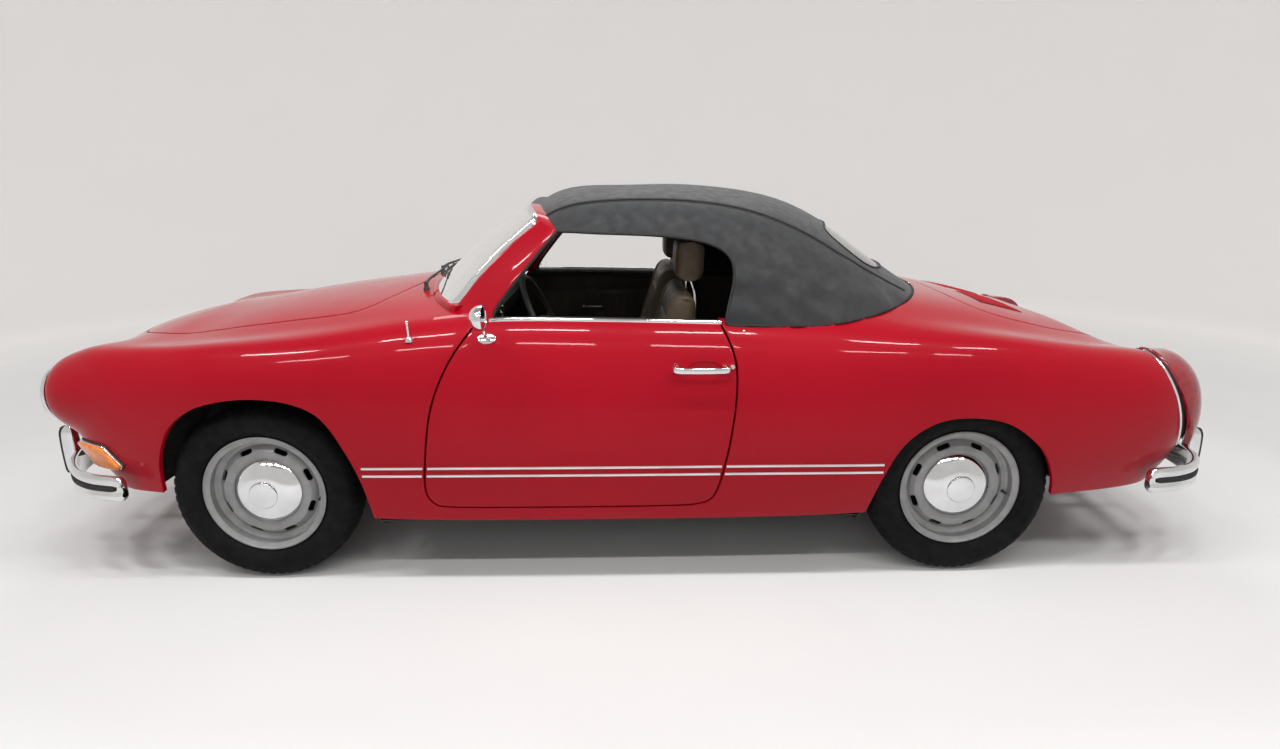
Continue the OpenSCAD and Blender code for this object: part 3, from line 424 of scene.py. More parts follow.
def turned(profile, sides):
    """A profile of (radius, height) turned about Z."""
    profile = np.asarray(profile, float)
    a = round_angles(sides)
    rings = np.stack([np.outer(np.cos(a), profile[:, 0]), np.outer(np.sin(a), profile[:, 0]),
                      np.tile(profile[:, 1], (sides, 1))], -1)
    rings = rings.transpose(1, 0, 2)
    return skin(rings[::-1], caps=False)


def knob(profile, sides):
    """A small turned part from a profile in millimetres, with its faces turned the other way."""
    return inside_out(turned(np.array(profile) * MM, sides))


def placed(part, matrix):
    p, f = part
    m = np.array(matrix)
    return np.asarray(p) @ m[:3, :3].T + m[:3, 3], f


def inside_out(part):
    """The part with its faces turned the other way."""
    p, f = part
    return p, [tuple(reversed(face)) for face in f]


def flipped(part):
    """The mirror image of a part in the car's middle plane."""
    p, f = inside_out(part)
    return np.asarray(p) * [1, -1, 1], f


def sided(part, side):
    """A part drawn for the right side, put on either side of the car."""
    return part if side == RIGHT else flipped(part)


def both(part):
    return [sided(part, side) for side in (LEFT, RIGHT)]


def rounded_box(a, b, r, steps=3):
    """A box with rounded vertical and horizontal edges, from corner a to corner b."""
    a, b = np.minimum(a, b), np.maximum(a, b)
    bm = bmesh.new()
    bmesh.ops.create_cube(bm, size=1)
    for v in bm.verts:
        v.co = Vector((a + b) / 2 + np.array(v.co) * (b - a))
    bmesh.ops.bevel(bm, geom=list(bm.edges), offset=r, segments=steps, profile=0.5, affect="EDGES")
    p = np.array([v.co for v in bm.verts])
    bm.verts.index_update()
    f = [tuple(v.index for v in face.verts) for face in bm.faces]
    bm.free()
    return p, f


# ---------------------------------------------------------------- materials

def socket(bsdf, name, value):
    bsdf.inputs[name].default_value = value


def base_material(name, colour, rough, **more):
    """A Principled material; more gives other sockets by name, with _ for a space."""
    m = bpy.data.materials.new(name)
    m.use_nodes = True
    bsdf = m.node_tree.nodes["Principled BSDF"]
    socket(bsdf, "Base Color", (*colour, 1))
    socket(bsdf, "Roughness", rough)
    for key, value in more.items():
        socket(bsdf, key.replace("_", " "), value)
    m.diffuse_color = (*colour, 1)
    return m


def add_node(m, kind, **values):
    n = m.node_tree.nodes.new(kind)
    for key, value in values.items():
        if key in n.inputs:
            n.inputs[key].default_value = value
        else:
            setattr(n, key, value)
    return n


def link(m, a, b):
    m.node_tree.links.new(a, b)


def place_of(m, stretch=(1, 1, 1)):
    """The position on the part, stretched along its axes."""
    coord = add_node(m, "ShaderNodeTexCoord")
    mapping = add_node(m, "ShaderNodeMapping")
    mapping.inputs["Scale"].default_value = stretch
    link(m, coord.outputs["Object"], mapping.inputs["Vector"])
    return mapping.outputs["Vector"]


def noise(m, scale, detail=3, stretch=(1, 1, 1)):
    n = add_node(m, "ShaderNodeTexNoise", Scale=scale, Detail=detail)
    link(m, place_of(m, stretch), n.inputs["Vector"])
    return n.outputs["Fac"]


def ramp(m, fac, low, high, a, b):
    """Maps fac from low..high to a..b."""
    r = add_node(m, "ShaderNodeMapRange", clamp=True)
    for key, value in (("From Min", low), ("From Max", high), ("To Min", a), ("To Max", b)):
        r.inputs[key].default_value = value
    link(m, fac, r.inputs["Value"])
    return r.outputs["Result"]


def mottle(m, a, b, scale, low=0.35, high=0.65, detail=4, stretch=(1, 1, 1)):
    """The colour varies from a to b in soft patches."""
    mix = add_node(m, "ShaderNodeMix", data_type="RGBA")
    mix.inputs["A"].default_value = (*a, 1)
    mix.inputs["B"].default_value = (*b, 1)
    link(m, ramp(m, noise(m, scale, detail, stretch), low, high, 0, 1), mix.inputs["Factor"])
    link(m, mix.outputs["Result"], m.node_tree.nodes["Principled BSDF"].inputs["Base Color"])
    return m


def patchy_gloss(m, a, b, scale, detail=3):
    """The roughness varies from a to b."""
    link(m, ramp(m, noise(m, scale, detail), 0.35, 0.65, a, b),
         m.node_tree.nodes["Principled BSDF"].inputs["Roughness"])
    return m


def relief(m, height, distance, strength=1.0):
    """Adds a height to the bump of the material."""
    bsdf = m.node_tree.nodes["Principled BSDF"]
    bump = add_node(m, "ShaderNodeBump", Strength=strength, Distance=distance)
    link(m, height, bump.inputs["Height"])
    old = bsdf.inputs["Normal"].links
    if old:
        link(m, old[0].from_socket, bump.inputs["Normal"])
    link(m, bump.outputs["Normal"], bsdf.inputs["Normal"])
    return m


def grain(m, scale, distance, detail=2, stretch=(1, 1, 1), strength=1.0):
    return relief(m, noise(m, scale, detail, stretch), distance, strength)


def cells(m, scale, distance, strength=1.0, stretch=(1, 1, 1)):
    """Leather-like grain from a cell pattern."""
    n = add_node(m, "ShaderNodeTexVoronoi", Scale=scale, feature="DISTANCE_TO_EDGE")
    link(m, place_of(m, stretch), n.inputs["Vector"])
    return relief(m, ramp(m, n.outputs["Distance"], 0, 0.25, 0, 1), distance, strength)


def make_paint():
    m = base_material("body_paint", PAINT_RED, 0.38, Coat_Weight=0.8, Coat_Roughness=0.03,
                      Coat_IOR=1.24, Specular_IOR_Level=0.05)
    mottle(m, PAINT_RED, tuple(c * 0.9 for c in PAINT_RED), 1.6)
    patchy_gloss(m, 0.28, 0.38, 2.5)
    return grain(m, 900, 0.00004)


def make_chrome():
    m = base_material("chrome", (0.80, 0.81, 0.82), 0.07, Metallic=1.0)
    mottle(m, (0.82, 0.83, 0.84), (0.70, 0.71, 0.72), 9)
    return patchy_gloss(m, 0.04, 0.12, 14)


def make_top_vinyl():
    m = base_material("top_vinyl", (0.013, 0.014, 0.0155), 0.55, Specular_IOR_Level=0.36,
                      Sheen_Weight=0.15, Sheen_Roughness=0.5)
    mottle(m, (0.012, 0.013, 0.0145), (0.017, 0.018, 0.0195), 9, detail=6)
    patchy_gloss(m, 0.52, 0.72, 30)
    cells(m, 900, 0.0001, 0.6)
    return grain(m, 28, 0.0006, 4)


def make_leather(name, colour, dark):
    m = base_material(name, colour, 0.5, Specular_IOR_Level=0.4)
    mottle(m, colour, dark, 10, detail=6)
    patchy_gloss(m, 0.4, 0.62, 40)
    cells(m, 500, 0.0003, 0.7)
    return grain(m, 60, 0.0006, 3)


def make_black_trim(name="black_trim", rough=0.55, level=0.02):
    m = base_material(name, (level, level, level * 1.05), rough, Specular_IOR_Level=0.35)
    mottle(m, (level, level, level), (level * 1.8, level * 1.8, level * 1.8), 30)
    patchy_gloss(m, rough - 0.08, rough + 0.12, 60)
    return grain(m, 1500, 0.00008)


def make_rubber():
    m = base_material("tyre_rubber", (0.006, 0.006, 0.0065), 0.72, Specular_IOR_Level=0.12)
    mottle(m, (0.0045, 0.0045, 0.005), (0.0075, 0.0075, 0.0075), 16, detail=6)
    patchy_gloss(m, 0.62, 0.85, 40)
    return grain(m, 900, 0.00012)


def make_wheel_paint():
    m = base_material("wheel_paint", (0.32, 0.32, 0.32), 0.42, Metallic=0.25, Specular_IOR_Level=0.4)
    mottle(m, (0.30, 0.30, 0.30), (0.25, 0.25, 0.25), 26, detail=6)
    patchy_gloss(m, 0.34, 0.52, 40)
    return grain(m, 1200, 0.00005)


def make_glass(name, tint, rough=0.0):
    m = base_material(name, tint, rough, Transmission_Weight=1.0, IOR=1.45, Specular_IOR_Level=0.5)
    mottle(m, tint, tuple(c * 0.97 for c in tint), 3)
    return m


def make_lens(name, colour, dark):
    m = base_material(name, colour, 0.12, Transmission_Weight=0.0, IOR=1.49, Coat_Weight=0.6)
    mottle(m, colour, dark, 40)
    return grain(m, 300, 0.0002)


def make_metal(name, colour, rough, scale=60):
    m = base_material(name, colour, rough, Metallic=0.85)
    mottle(m, colour, tuple(c * 0.6 for c in colour), scale, detail=8)
    patchy_gloss(m, rough * 0.8, min(1, rough * 1.4), scale)
    return grain(m, 500, 0.0003)


def make_dull_black(name="chassis_black"):
    m = base_material(name, (0.02, 0.02, 0.021), 0.6, Specular_IOR_Level=0.3)
    mottle(m, (0.014, 0.014, 0.014), (0.045, 0.042, 0.038), 8, detail=8)
    patchy_gloss(m, 0.5, 0.85, 18)
    return grain(m, 250, 0.0006, 5)


PAINT_RED = (0.355, 0.0022, 0.012)
paint = make_paint()
chrome = make_chrome()
top_vinyl = make_top_vinyl()
seat_tan = make_leather("seat_leather", (0.105, 0.072, 0.045), (0.066, 0.046, 0.029))
card_brown = make_leather("door_card_vinyl", (0.030, 0.022, 0.016), (0.018, 0.013, 0.010))
black_trim = make_black_trim()
black_rubber = make_black_trim("black_rubber", 0.7, 0.014)
tyre_rubber = make_rubber()
wheel_paint = make_wheel_paint()
window_glass = make_glass("window_glass", (0.83, 0.92, 0.88))
rear_film = make_glass("rear_light_film", (0.90, 0.92, 0.90), 0.05)
lamp_glass = make_glass("lamp_glass", (0.95, 0.96, 0.97))
amber_lens = make_lens("amber_lens", (0.85, 0.24, 0.01), (0.62, 0.15, 0.008))
red_lens = make_lens("red_lens", (0.30, 0.008, 0.018), (0.18, 0.004, 0.010))
chassis_black = make_dull_black()
floor_black = make_dull_black("floor_black")
cast_metal = make_metal("case_metal", (0.42, 0.41, 0.40), 0.5)
engine_metal = make_metal("engine_metal", (0.24, 0.24, 0.24), 0.55)
silencer_steel = make_metal("silencer_steel", (0.30, 0.28, 0.26), 0.5)
SLOT_MATERIALS = {
    "body_paint": paint, "trim_chrome": chrome, "clear_glass": window_glass,
    "rear_light_film": rear_film, "top_cloth": top_vinyl, "seat_leather": seat_tan,
    "black_trim": black_trim, "amber_lens": amber_lens, "red_lens": red_lens,
    "lamp_glass": lamp_glass, "tyre_rubber": tyre_rubber, "wheel_paint": wheel_paint,
    "chassis_black": chassis_black, "floor_black": floor_black, "case_metal": cast_metal,
    "engine_metal": engine_metal, "silencer_steel": silencer_steel,
}


def finish_cad_nodes():
    """Every carried-over CAD node takes the procedural material of its slot."""
    for part in frame["record"]["subparts"]:
        obj = frame["nodes"][part["node"]]
        obj.data.materials.clear()
        obj.data.materials.append(SLOT_MATERIALS[part["material_slot"]])


# ---------------------------------------------------------------- drawing of the car
# Millimetres from the body datum, the same stations as the part's source.

NOSE_RIBS = [
    [(-1560, 0, 872), (-1740, 0, 838), (-1880, 0, 800), (-1965, 0, 758), (-2015, 0, 700),
     (-2030, 0, 610), (-2000, 0, 500), (-1950, 0, 400), (-1895, 0, 320)],
    [(-1560, 0, 872), (-1725, 100, 838), (-1860, 165, 800), (-1940, 205, 755), (-1985, 230, 697),
     (-1995, 245, 610), (-1965, 250, 500), (-1915, 255, 400), (-1865, 260, 320)],
    [(-1560, 0, 872), (-1695, 180, 842), (-1800, 320, 805), (-1875, 400, 760), (-1925, 430, 705),
     (-1935, 445, 615), (-1905, 450, 505), (-1860, 455, 400), (-1815, 455, 320)],
    [(-1560, 0, 872), (-1650, 245, 845), (-1730, 430, 806), (-1820, 545, 815), (-1925, 580, 795),
     (-1985, 590, 680), (-1935, 600, 545), (-1855, 615, 420), (-1790, 615, 325)],
    [(-1560, 0, 872), (-1600, 275, 850), (-1660, 470, 812), (-1730, 600, 822), (-1820, 660, 815),
     (-1880, 715, 700), (-1850, 715, 555), (-1775, 710, 430), (-1710, 700, 330)],
]
SIDE_STATIONS = [
    (-1540, [(0, 875), (275, 856), (480, 820), (600, 812), (690, 835), (760, 730), (770, 590), (760, 440),
         (730, 330)]),
    (-1400, [(0, 895), (280, 882), (490, 848), (610, 826), (705, 848), (788, 755), (792, 600), (782, 440),
         (752, 315)]),
    (-1235, [(0, 922), (285, 910), (495, 875), (615, 840), (715, 855), (802, 765), (806, 600), (796, 430),
         (765, 290)]),
    (-1000, [(0, 950), (290, 938), (500, 908), (620, 872), (718, 868), (805, 780), (814, 600), (806, 420),
         (768, 255)]),
    (-750, [(0, 975), (290, 965), (505, 942), (625, 912), (715, 895), (800, 800), (818, 600), (812, 410),
         (770, 238)]),
    (-450, [(0, 985), (290, 978), (505, 962), (620, 945), (705, 925), (795, 815), (822, 600), (816, 405),
         (770, 233)]),
    (-150, [(0, 985), (290, 978), (505, 962), (620, 942), (708, 918), (798, 805), (826, 590), (820, 400),
         (770, 232)]),
    (150, [(0, 985), (290, 978), (505, 962), (620, 935), (708, 910), (798, 800), (828, 590), (822, 400),
         (770, 232)]),
    (430, [(0, 985), (290, 975), (505, 955), (620, 930), (708, 900), (796, 790), (826, 590), (822, 400),
         (770, 232)]),
    (700, [(0, 985), (290, 975), (505, 955), (620, 925), (712, 890), (800, 800), (834, 610), (826, 400),
         (770, 238)]),
    (930, [(0, 975), (290, 968), (500, 945), (620, 905), (722, 875), (812, 815), (838, 620), (826, 400),
         (770, 250)]),
    (1165, [(0, 945), (285, 940), (490, 915), (615, 865), (722, 868), (812, 800), (834, 610), (822, 410),
         (768, 275)]),
    (1400, [(0, 905), (275, 898), (470, 868), (600, 822), (705, 845), (795, 780), (820, 600), (808, 420),
         (758, 290)]),
    (1600, [(0, 850), (260, 845), (440, 815), (575, 785), (680, 815), (765, 750), (796, 590), (786, 420),
         (740, 300)]),
]
TAIL_RIBS = [
    [(1600, 0, 850), (1660, 250, 835), (1720, 420, 792), (1770, 550, 770), (1800, 650, 795),
     (1850, 735, 720), (1880, 755, 580), (1860, 745, 430), (1800, 715, 310)],
    [(1600, 0, 850), (1700, 225, 825), (1800, 380, 765), (1890, 500, 740), (1945, 590, 765),
     (2000, 660, 690), (2020, 680, 570), (1990, 680, 430), (1910, 660, 320)],
    [(1600, 0, 850), (1730, 165, 812), (1850, 275, 745), (1950, 350, 700), (2010, 400, 665),
     (2035, 420, 600), (2035, 430, 510), (2005, 430, 410), (1940, 425, 330)],
    [(1600, 0, 850), (1745, 90, 808), (1875, 140, 738), (1975, 180, 690), (2035, 200, 645),
     (2055, 210, 585), (2052, 215, 500), (2020, 215, 405), (1955, 210, 330)],
    [(1600, 0, 850), (1750, 0, 806), (1880, 0, 736), (1985, 0, 688), (2045, 0, 640), (2062, 0, 580),
     (2058, 0, 500), (2025, 0, 405), (1960, 0, 330)],
]
TOP_RIBS = [
    [(-375, 0, 1225), (-360, 280, 1218), (-312, 510, 1195), (-290, 550, 1150), (-290, 615, 1040),
     (-290, 690, 910)],
    [(-318, 0, 1290), (-300, 290, 1282), (-255, 512, 1250), (-235, 578, 1185), (-235, 632, 1050),
     (-235, 697, 910)],
    [(-210, 0, 1334), (-195, 290, 1326), (-170, 515, 1292), (-150, 594, 1200), (-150, 647, 1050),
     (-150, 702, 905)],
    [(0, 0, 1338), (0, 290, 1331), (0, 518, 1304), (0, 602, 1205), (0, 652, 1050), (0, 706, 900)],
    [(200, 0, 1338), (200, 290, 1330), (200, 518, 1297), (200, 606, 1195), (200, 657, 1045),
     (200, 706, 895)],
    [(400, 0, 1333), (395, 290, 1321), (385, 515, 1272), (380, 605, 1170), (380, 662, 1030),
     (380, 709, 890)],
    [(560, 0, 1306), (550, 285, 1288), (530, 508, 1228), (520, 602, 1130), (520, 663, 1010),
     (520, 709, 885)],
    [(720, 0, 1254), (705, 280, 1232), (670, 498, 1163), (650, 597, 1080), (640, 661, 985),
     (640, 709, 880)],
    [(855, 0, 1168), (840, 272, 1143), (793, 482, 1088), (767, 587, 1022), (757, 651, 955),
     (752, 699, 880)],
    [(975, 0, 1076), (955, 265, 1056), (908, 456, 1022), (878, 562, 972), (863, 622, 930),
     (852, 652, 888)],
    [(1085, 0, 1000), (1064, 250, 990), (1013, 427, 965), (982, 512, 938), (962, 557, 915),
     (952, 577, 895)],
    [(1190, 0, 930), (1166, 240, 925), (1112, 395, 915), (1076, 455, 908), (1055, 485, 900),
     (1038, 505, 890)],
]
DOOR_LINE = [
    (-300, 1010), (-418, 985), (-450, 940), (-500, 875), (-553, 799), (-601, 699), (-630, 598),
    (-651, 458), (-660, 360), (-640, 308), (-590, 292), (-400, 288), (-100, 287), (150, 289),
    (250, 296), (300, 330), (333, 457), (355, 597), (364, 699), (362, 782), (342, 848), (312, 910),
    (296, 960), (270, 1010)
]
FRONT_ARCH = [
    (-1590, 180), (-1568, 357), (-1546, 463), (-1495, 567), (-1418, 632), (-1320, 666), (-1205, 679),
    (-1078, 665), (-982, 616), (-914, 502), (-871, 371), (-846, 180)
]
REAR_ARCH = [
    (818, 180), (832, 249), (864, 382), (920, 506), (1012, 580), (1125, 601), (1261, 579), (1373, 504),
    (1436, 421), (1480, 304), (1490, 180)
]
HOOD_LINE = [
    (-1862, 0), (-1858, 120), (-1835, 230), (-1785, 320), (-1700, 400), (-1560, 455), (-1300, 490),
    (-1050, 512), (-950, 512), (-892, 470), (-845, 370), (-805, 240), (-785, 110), (-782, 0)
]
LID_LINE = [
    (1240, 0), (1243, 200), (1262, 345), (1310, 425), (1380, 455), (1500, 455), (1640, 432),
    (1760, 390), (1830, 320), (1868, 180), (1876, 0)
]
CABIN_LINE = [
    (-722, 0), (-714, 160), (-688, 318), (-640, 468), (-592, 560), (-555, 604), (-470, 640),
    (-400, 660), (0, 672), (700, 672), (800, 630), (900, 560), (985, 470), (1050, 370), (1090, 240),
    (1105, 120), (1108, 0)
]
WINDOW_LINE = [
    (-520, 860), (-445, 975), (-352, 1062), (-268, 1146), (-226, 1186), (-75, 1184), (120, 1176),
    (250, 1160), (330, 1132), (366, 1092), (368, 1030), (348, 950), (332, 880)
]
REAR_LIGHT = [
    (0, 1030), (300, 1034), (392, 1046), (404, 1070), (384, 1128), (350, 1166), (250, 1182), (0, 1186)
]
GLASS_LOW = [
    (-735, 0, 962), (-727, 160, 961), (-700, 320, 957), (-655, 470, 950), (-608, 560, 944),
    (-576, 600, 940)
]
GLASS_HIGH = [
    (-356, 0, 1266), (-352, 150, 1264), (-341, 290, 1259), (-322, 410, 1250), (-303, 490, 1240),
    (-288, 527, 1228)
]
PILLAR = [
    [(-588, 606, 905), (-560, 655, 905), (-425, 694, 905), (-440, 650, 905)],
    [(-568, 604, 948), (-548, 640, 952), (-418, 680, 948), (-428, 642, 945)],
    [(-452, 592, 1045), (-438, 612, 1052), (-338, 655, 1052), (-350, 618, 1048)],
    [(-350, 562, 1142), (-338, 584, 1150), (-258, 624, 1146), (-268, 592, 1142)],
    [(-296, 528, 1218), (-280, 552, 1232), (-218, 600, 1192), (-228, 566, 1188)],
]
HEADER = [
    [(-300, 524, 1212), (-288, 536, 1236), (-222, 596, 1200), (-232, 560, 1180)],
    [(-322, 470, 1232), (-310, 474, 1262), (-222, 500, 1246), (-236, 486, 1214)],
    [(-345, 350, 1244), (-336, 352, 1276), (-246, 360, 1272), (-256, 356, 1234)],
    [(-358, 180, 1250), (-350, 180, 1284), (-258, 182, 1286), (-266, 182, 1244)],
    [(-362, 0, 1252), (-354, 0, 1286), (-262, 0, 1290), (-270, 0, 1246)],
]
BASE_RAIL = [
    [(-572, 628, 900), (-560, 634, 951), (-525, 612, 949), (-530, 606, 900)],
    [(-605, 596, 900), (-592, 606, 952), (-560, 588, 952), (-560, 578, 900)],
    [(-668, 482, 900), (-660, 488, 962), (-622, 468, 962), (-622, 460, 900)],
    [(-714, 326, 905), (-706, 330, 970), (-668, 316, 970), (-668, 312, 905)],
    [(-742, 160, 910), (-735, 162, 975), (-696, 158, 975), (-696, 156, 910)],
    [(-750, 0, 912), (-742, 0, 977), (-702, 0, 977), (-702, 0, 912)],
]
FRONT_BLADE = [
    (-2045, 0), (-2042, 220), (-2022, 420), (-1975, 560), (-1890, 680), (-1790, 748), (-1665, 778)
]
REAR_BLADE = [
    (2112, 0), (2110, 260), (2098, 470), (2068, 620), (2004, 712), (1915, 758), (1800, 776)
]


# ---------------------------------------------------------------- body panels

GAP = 0.006
ROLL = 0.0022
LAMP = {"radius": 88, "y": 578, "z": 650, "face": -1942, "reach": 152}


def lamp_eye(p):
    """The wing end is pulled flat round the lamp."""
    d = np.hypot(p[:, 1] - LAMP["y"], p[:, 2] - LAMP["z"])
    w = ease((LAMP["reach"] - d) / 64) * ease((-1690 - p[:, 0]) / 110)
    return np.stack([p[:, 0] * (1 - w) + LAMP["face"] * w, p[:, 1], p[:, 2]], 1)


BODY = Net(NOSE_RIBS + [[(x, y, z) for y, z in rib] for x, rib in SIDE_STATIONS] + TAIL_RIBS, True)
BODY.shape = lamp_eye
DOOR_EDGE = side_line(DOOR_LINE, 6)
FRONT_ARCH_EDGE = side_line(FRONT_ARCH, 6)
REAR_ARCH_EDGE = side_line(REAR_ARCH, 6)
HOOD_EDGE = plan_line(HOOD_LINE, 6)
LID_EDGE = plan_line(LID_LINE, 6)
CABIN_EDGE = plan_line(CABIN_LINE, 6)
BELT_Y = 0.692
CARD_IN = 0.684


def seen_from_side(p, line):
    return depth_inside(p[:, [0, 2]], line)


def seen_from_above(p, line):
    return depth_inside(p[:, :2], line)


def shell_field(p):
    """Positive on the fixed body: outside every door, lid, arch, lamp and the cabin."""
    x, y, z = p.T
    keep = np.full(len(p), 1.0)
    for where, depth in (
            (y > 0.600, seen_from_side(p, DOOR_EDGE) + GAP),
            (y > 0.380, seen_from_side(p, FRONT_ARCH_EDGE)),
            (y > 0.545, seen_from_side(p, REAR_ARCH_EDGE)),
            (z > 0.600, seen_from_above(p, HOOD_EDGE) + GAP),
            (z > 0.600, seen_from_above(p, LID_EDGE) + GAP),
            (z > 0.700, seen_from_above(p, CABIN_EDGE)),
            (x < -1.73, LAMP["radius"] * MM - np.hypot(y - LAMP["y"] * MM, z - LAMP["z"] * MM))):
        keep = np.minimum(keep, np.where(where, -depth, 1))
    return keep - ROLL


def hood_field(p):
    return np.where(p[:, 2] > 0.6, seen_from_above(p, HOOD_EDGE), -1) - ROLL


def lid_field(p):
    return np.where(p[:, 2] > 0.6, seen_from_above(p, LID_EDGE), -1) - ROLL


def door_field(p):
    return np.minimum(seen_from_side(p, DOOR_EDGE), p[:, 1] - BELT_Y) - ROLL


def shell_drop(p, m):
    """Flanges of the fixed body: deep jambs round the doors, short returns elsewhere."""
    half = p * [1, 0, 1] + np.abs(p) * [0, 1, 0]
    jamb = (np.abs(seen_from_side(half, DOOR_EDGE) + GAP + ROLL) < 0.004) & (half[:, 1] > 0.66)
    inward = np.stack([0 * p[:, 0], -np.sign(p[:, 1]) * (half[:, 1] - 0.641), 0 * p[:, 0]], 1)
    return np.where(jamb[:, None], inward, -m * 0.014)


def door_drop(p, _normals):
    """The edges of a door run in to its flat inner face."""
    return np.stack([0 * p[:, 0], np.minimum(CARD_IN - p[:, 1], -0.003), 0 * p[:, 2]], 1)


def panel(field, density, window=(0, None, 0, None)):
    uv, tris = BODY.grid(density, *window)
    uv, tris = cut_grid(uv, tris, BODY.at, field)
    return BODY.at(uv), tris


def make_body_shell():
    p, t = weld(*panel(shell_field, 12))
    p, t = both_sides(p, t)
    shell = mesh_piece("body_shell", *rolled(p, t, ROLL, drop=shell_drop), [paint, card_brown],
                       "car_body", ["front_body", "rear_body", "sills"])
    line_cabin(shell, len(t))


def line_cabin(shell, count):
    """The inner face of the body is trimmed where it meets the cabin."""
    faces = shell.data.polygons
    for face in faces[len(faces) - count:]:
        x, _, z = face.center
        if -0.62 < x < 1.10 and z > 0.30:
            face.material_index = 1
    centre = np.array([face.center for face in faces])
    hem = seen_from_above(centre * [1, 0, 1] + np.abs(centre) * [0, 1, 0], CABIN_EDGE) > -0.012
    for k in np.flatnonzero(hem & (centre[:, 0] > 0.30) & (centre[:, 2] > 0.80)):
        faces[int(k)].material_index = 1


def make_lid(name, field, window):
    p, t = weld(*panel(field, 14, window))
    p, t = both_sides(p, t)
    mesh_piece(name + "_panel", *rolled(p, t, ROLL, 0.012), paint, name, [name])


def make_door_skin(side):
    name = "door_left" if side == LEFT else "door_right"
    p, t = weld(*panel(door_field, 16, (7, 15, 2, 8)))
    v, f = rolled(p, t, ROLL, drop=door_drop)
    v[-len(p):, 1] = CARD_IN
    mesh_piece(name + "_skin", *sided((v, f), side), paint, name, [name])


# ---------------------------------------------------------------- soft top

TOP = Net(TOP_RIBS, False)
WINDOW_EDGE = side_line(WINDOW_LINE, 6)
REAR_LIGHT_EDGE = through(np.array(REAR_LIGHT) * MM, 6)
REAR_LIGHT_EDGE = np.concatenate([REAR_LIGHT_EDGE, REAR_LIGHT_EDGE[::-1] * [-1, 1]])
TOP_THICK = 0.006
GLASS_TOP = pts(GLASS_HIGH)


def body_height():
    """A tree of the untrimmed body surface, to ask for its height."""
    uv, tris = BODY.grid(12)
    p, t = both_sides(BODY.at(uv), tris)
    return BVHTree.FromPolygons(p.tolist(), t.tolist())


BODY_TREE = body_height()


def body_z(x, y):
    hit = BODY_TREE.ray_cast(Vector((x, y, 2)), Vector((0, 0, -1)))
    return hit[0].z if hit[0] else -1


def above_body(p):
    return np.array([z - body_z(x, y) for x, y, z in p])


def top_field(p):
    x, y, z = p.T
    keep = above_body(p) - 0.002
    keep = np.minimum(keep, np.where(y > 0.5, -seen_from_side(p, WINDOW_EDGE), 1))
    rear = depth_inside(p[:, 1:], REAR_LIGHT_EDGE)
    keep = np.minimum(keep, np.where(x > 0.70, -rear, 1))
    keep = np.minimum(keep, np.where(y > 0.56, -seen_from_side(p, DOOR_EDGE) - GAP, 1))
    front = np.interp(y, GLASS_TOP[:, 1], GLASS_TOP[:, 0]) + 0.007
    keep = np.minimum(keep, np.where(y < 0.535, x - front, 1))
    corner = (x + 0.266) * 0.68 + (z - 1.186) * 0.73
    return np.minimum(keep, np.where(y > 0.50, corner, 1))


def top_folds(p, n):
    """Soft hollows between the bows and slack creases on the rear quarters."""
    x, y, z = p.T
    side = ease((np.abs(y) - 0.40) / 0.12)
    rear = ease((x - 0.30) / 0.25) * ease((1.05 - x) / 0.2)
    hollow = -0.0035 * (1 - side) * ease((z - 1.2) / 0.08) * np.sin(math.pi * (x + 0.25) / 0.42) ** 2
    low = ease((1.16 - z) / 0.16)
    slack = 0.0030 * np.sin((x * 0.9 - z * 0.35) * 46 + 0.7 * np.sin(z * 21))
    slack += 0.0016 * np.sin((x * 0.5 + z) * 71 + 2 * np.sin(x * 13))
    drawn = 0.0022 * np.sin(z * 60 + 6 * x) * ease((0.50 - x) / 0.1) * low
    over_header = 0.032 * ease((-0.335 - x) / 0.055) * ease((0.60 - np.abs(y)) / 0.05)
    p = p + np.stack([0 * x, 0 * x, over_header], 1)
    return p + n * (hollow + side * rear * low * slack + side * drawn)[:, None]


def make_soft_top():
    uv, tris = TOP.grid(15)
    uv, tris = cut_grid(uv, tris, TOP.at, top_field)
    p, t = weld(TOP.at(uv), tris)
    p, t = both_sides(p, t)
    p = top_folds(p, vertex_normals(p, t))
    shell = rolled(p, t, 0.0012, TOP_THICK)
    top = mesh_piece("soft_top_cloth", *shell, top_vinyl, "car_body", ["soft_top"])
    return p, t


def top_edges(p, t):
    """The rims of the top, as chains of points: base, windows and rear light."""
    found = {"base": [], "window": [], "light": []}
    for chain in loops_of(rim_edges(t)):
        q = p[chain]
        kind = np.where(np.abs(above_body(q) - 0.002) < 0.0015, 0, 2)
        kind = np.where((np.abs(q[:, 1]) > 0.5) & (kind == 2), 1, kind)
        names = ("base", "window", "light")
        start = 0
        for k in range(1, len(q) + 1):
            if k == len(q) or kind[k] != kind[start]:
                if k - start > 6:
                    found[names[kind[start]]].append(q[start:k])
                start = k
    return found


def even(path, step):
    """The same path with points a step apart."""
    path = np.asarray(path, float)
    d = np.concatenate([[0], np.cumsum(np.linalg.norm(np.diff(path, axis=0), axis=1))])
    n = max(2, int(round(d[-1] / step)) + 1)
    s = np.linspace(0, d[-1], n)
    return np.stack([np.interp(s, d, path[:, k]) for k in range(3)], 1)


def softened(path, rounds=3):
    p = path.copy()
    for _ in range(rounds):
        p[1:-1] = (p[:-2] + 2 * p[1:-1] + p[2:]) / 4
    return p


def on_top(u_values, v_values, lift=0.0):
    uv = np.stack([u_values, v_values], 1)
    p, n = TOP.at(uv), TOP.normals(uv)
    return top_folds(p, n) + n * lift


SEAM_LINE = 2.0
STITCH_APART = 0.07


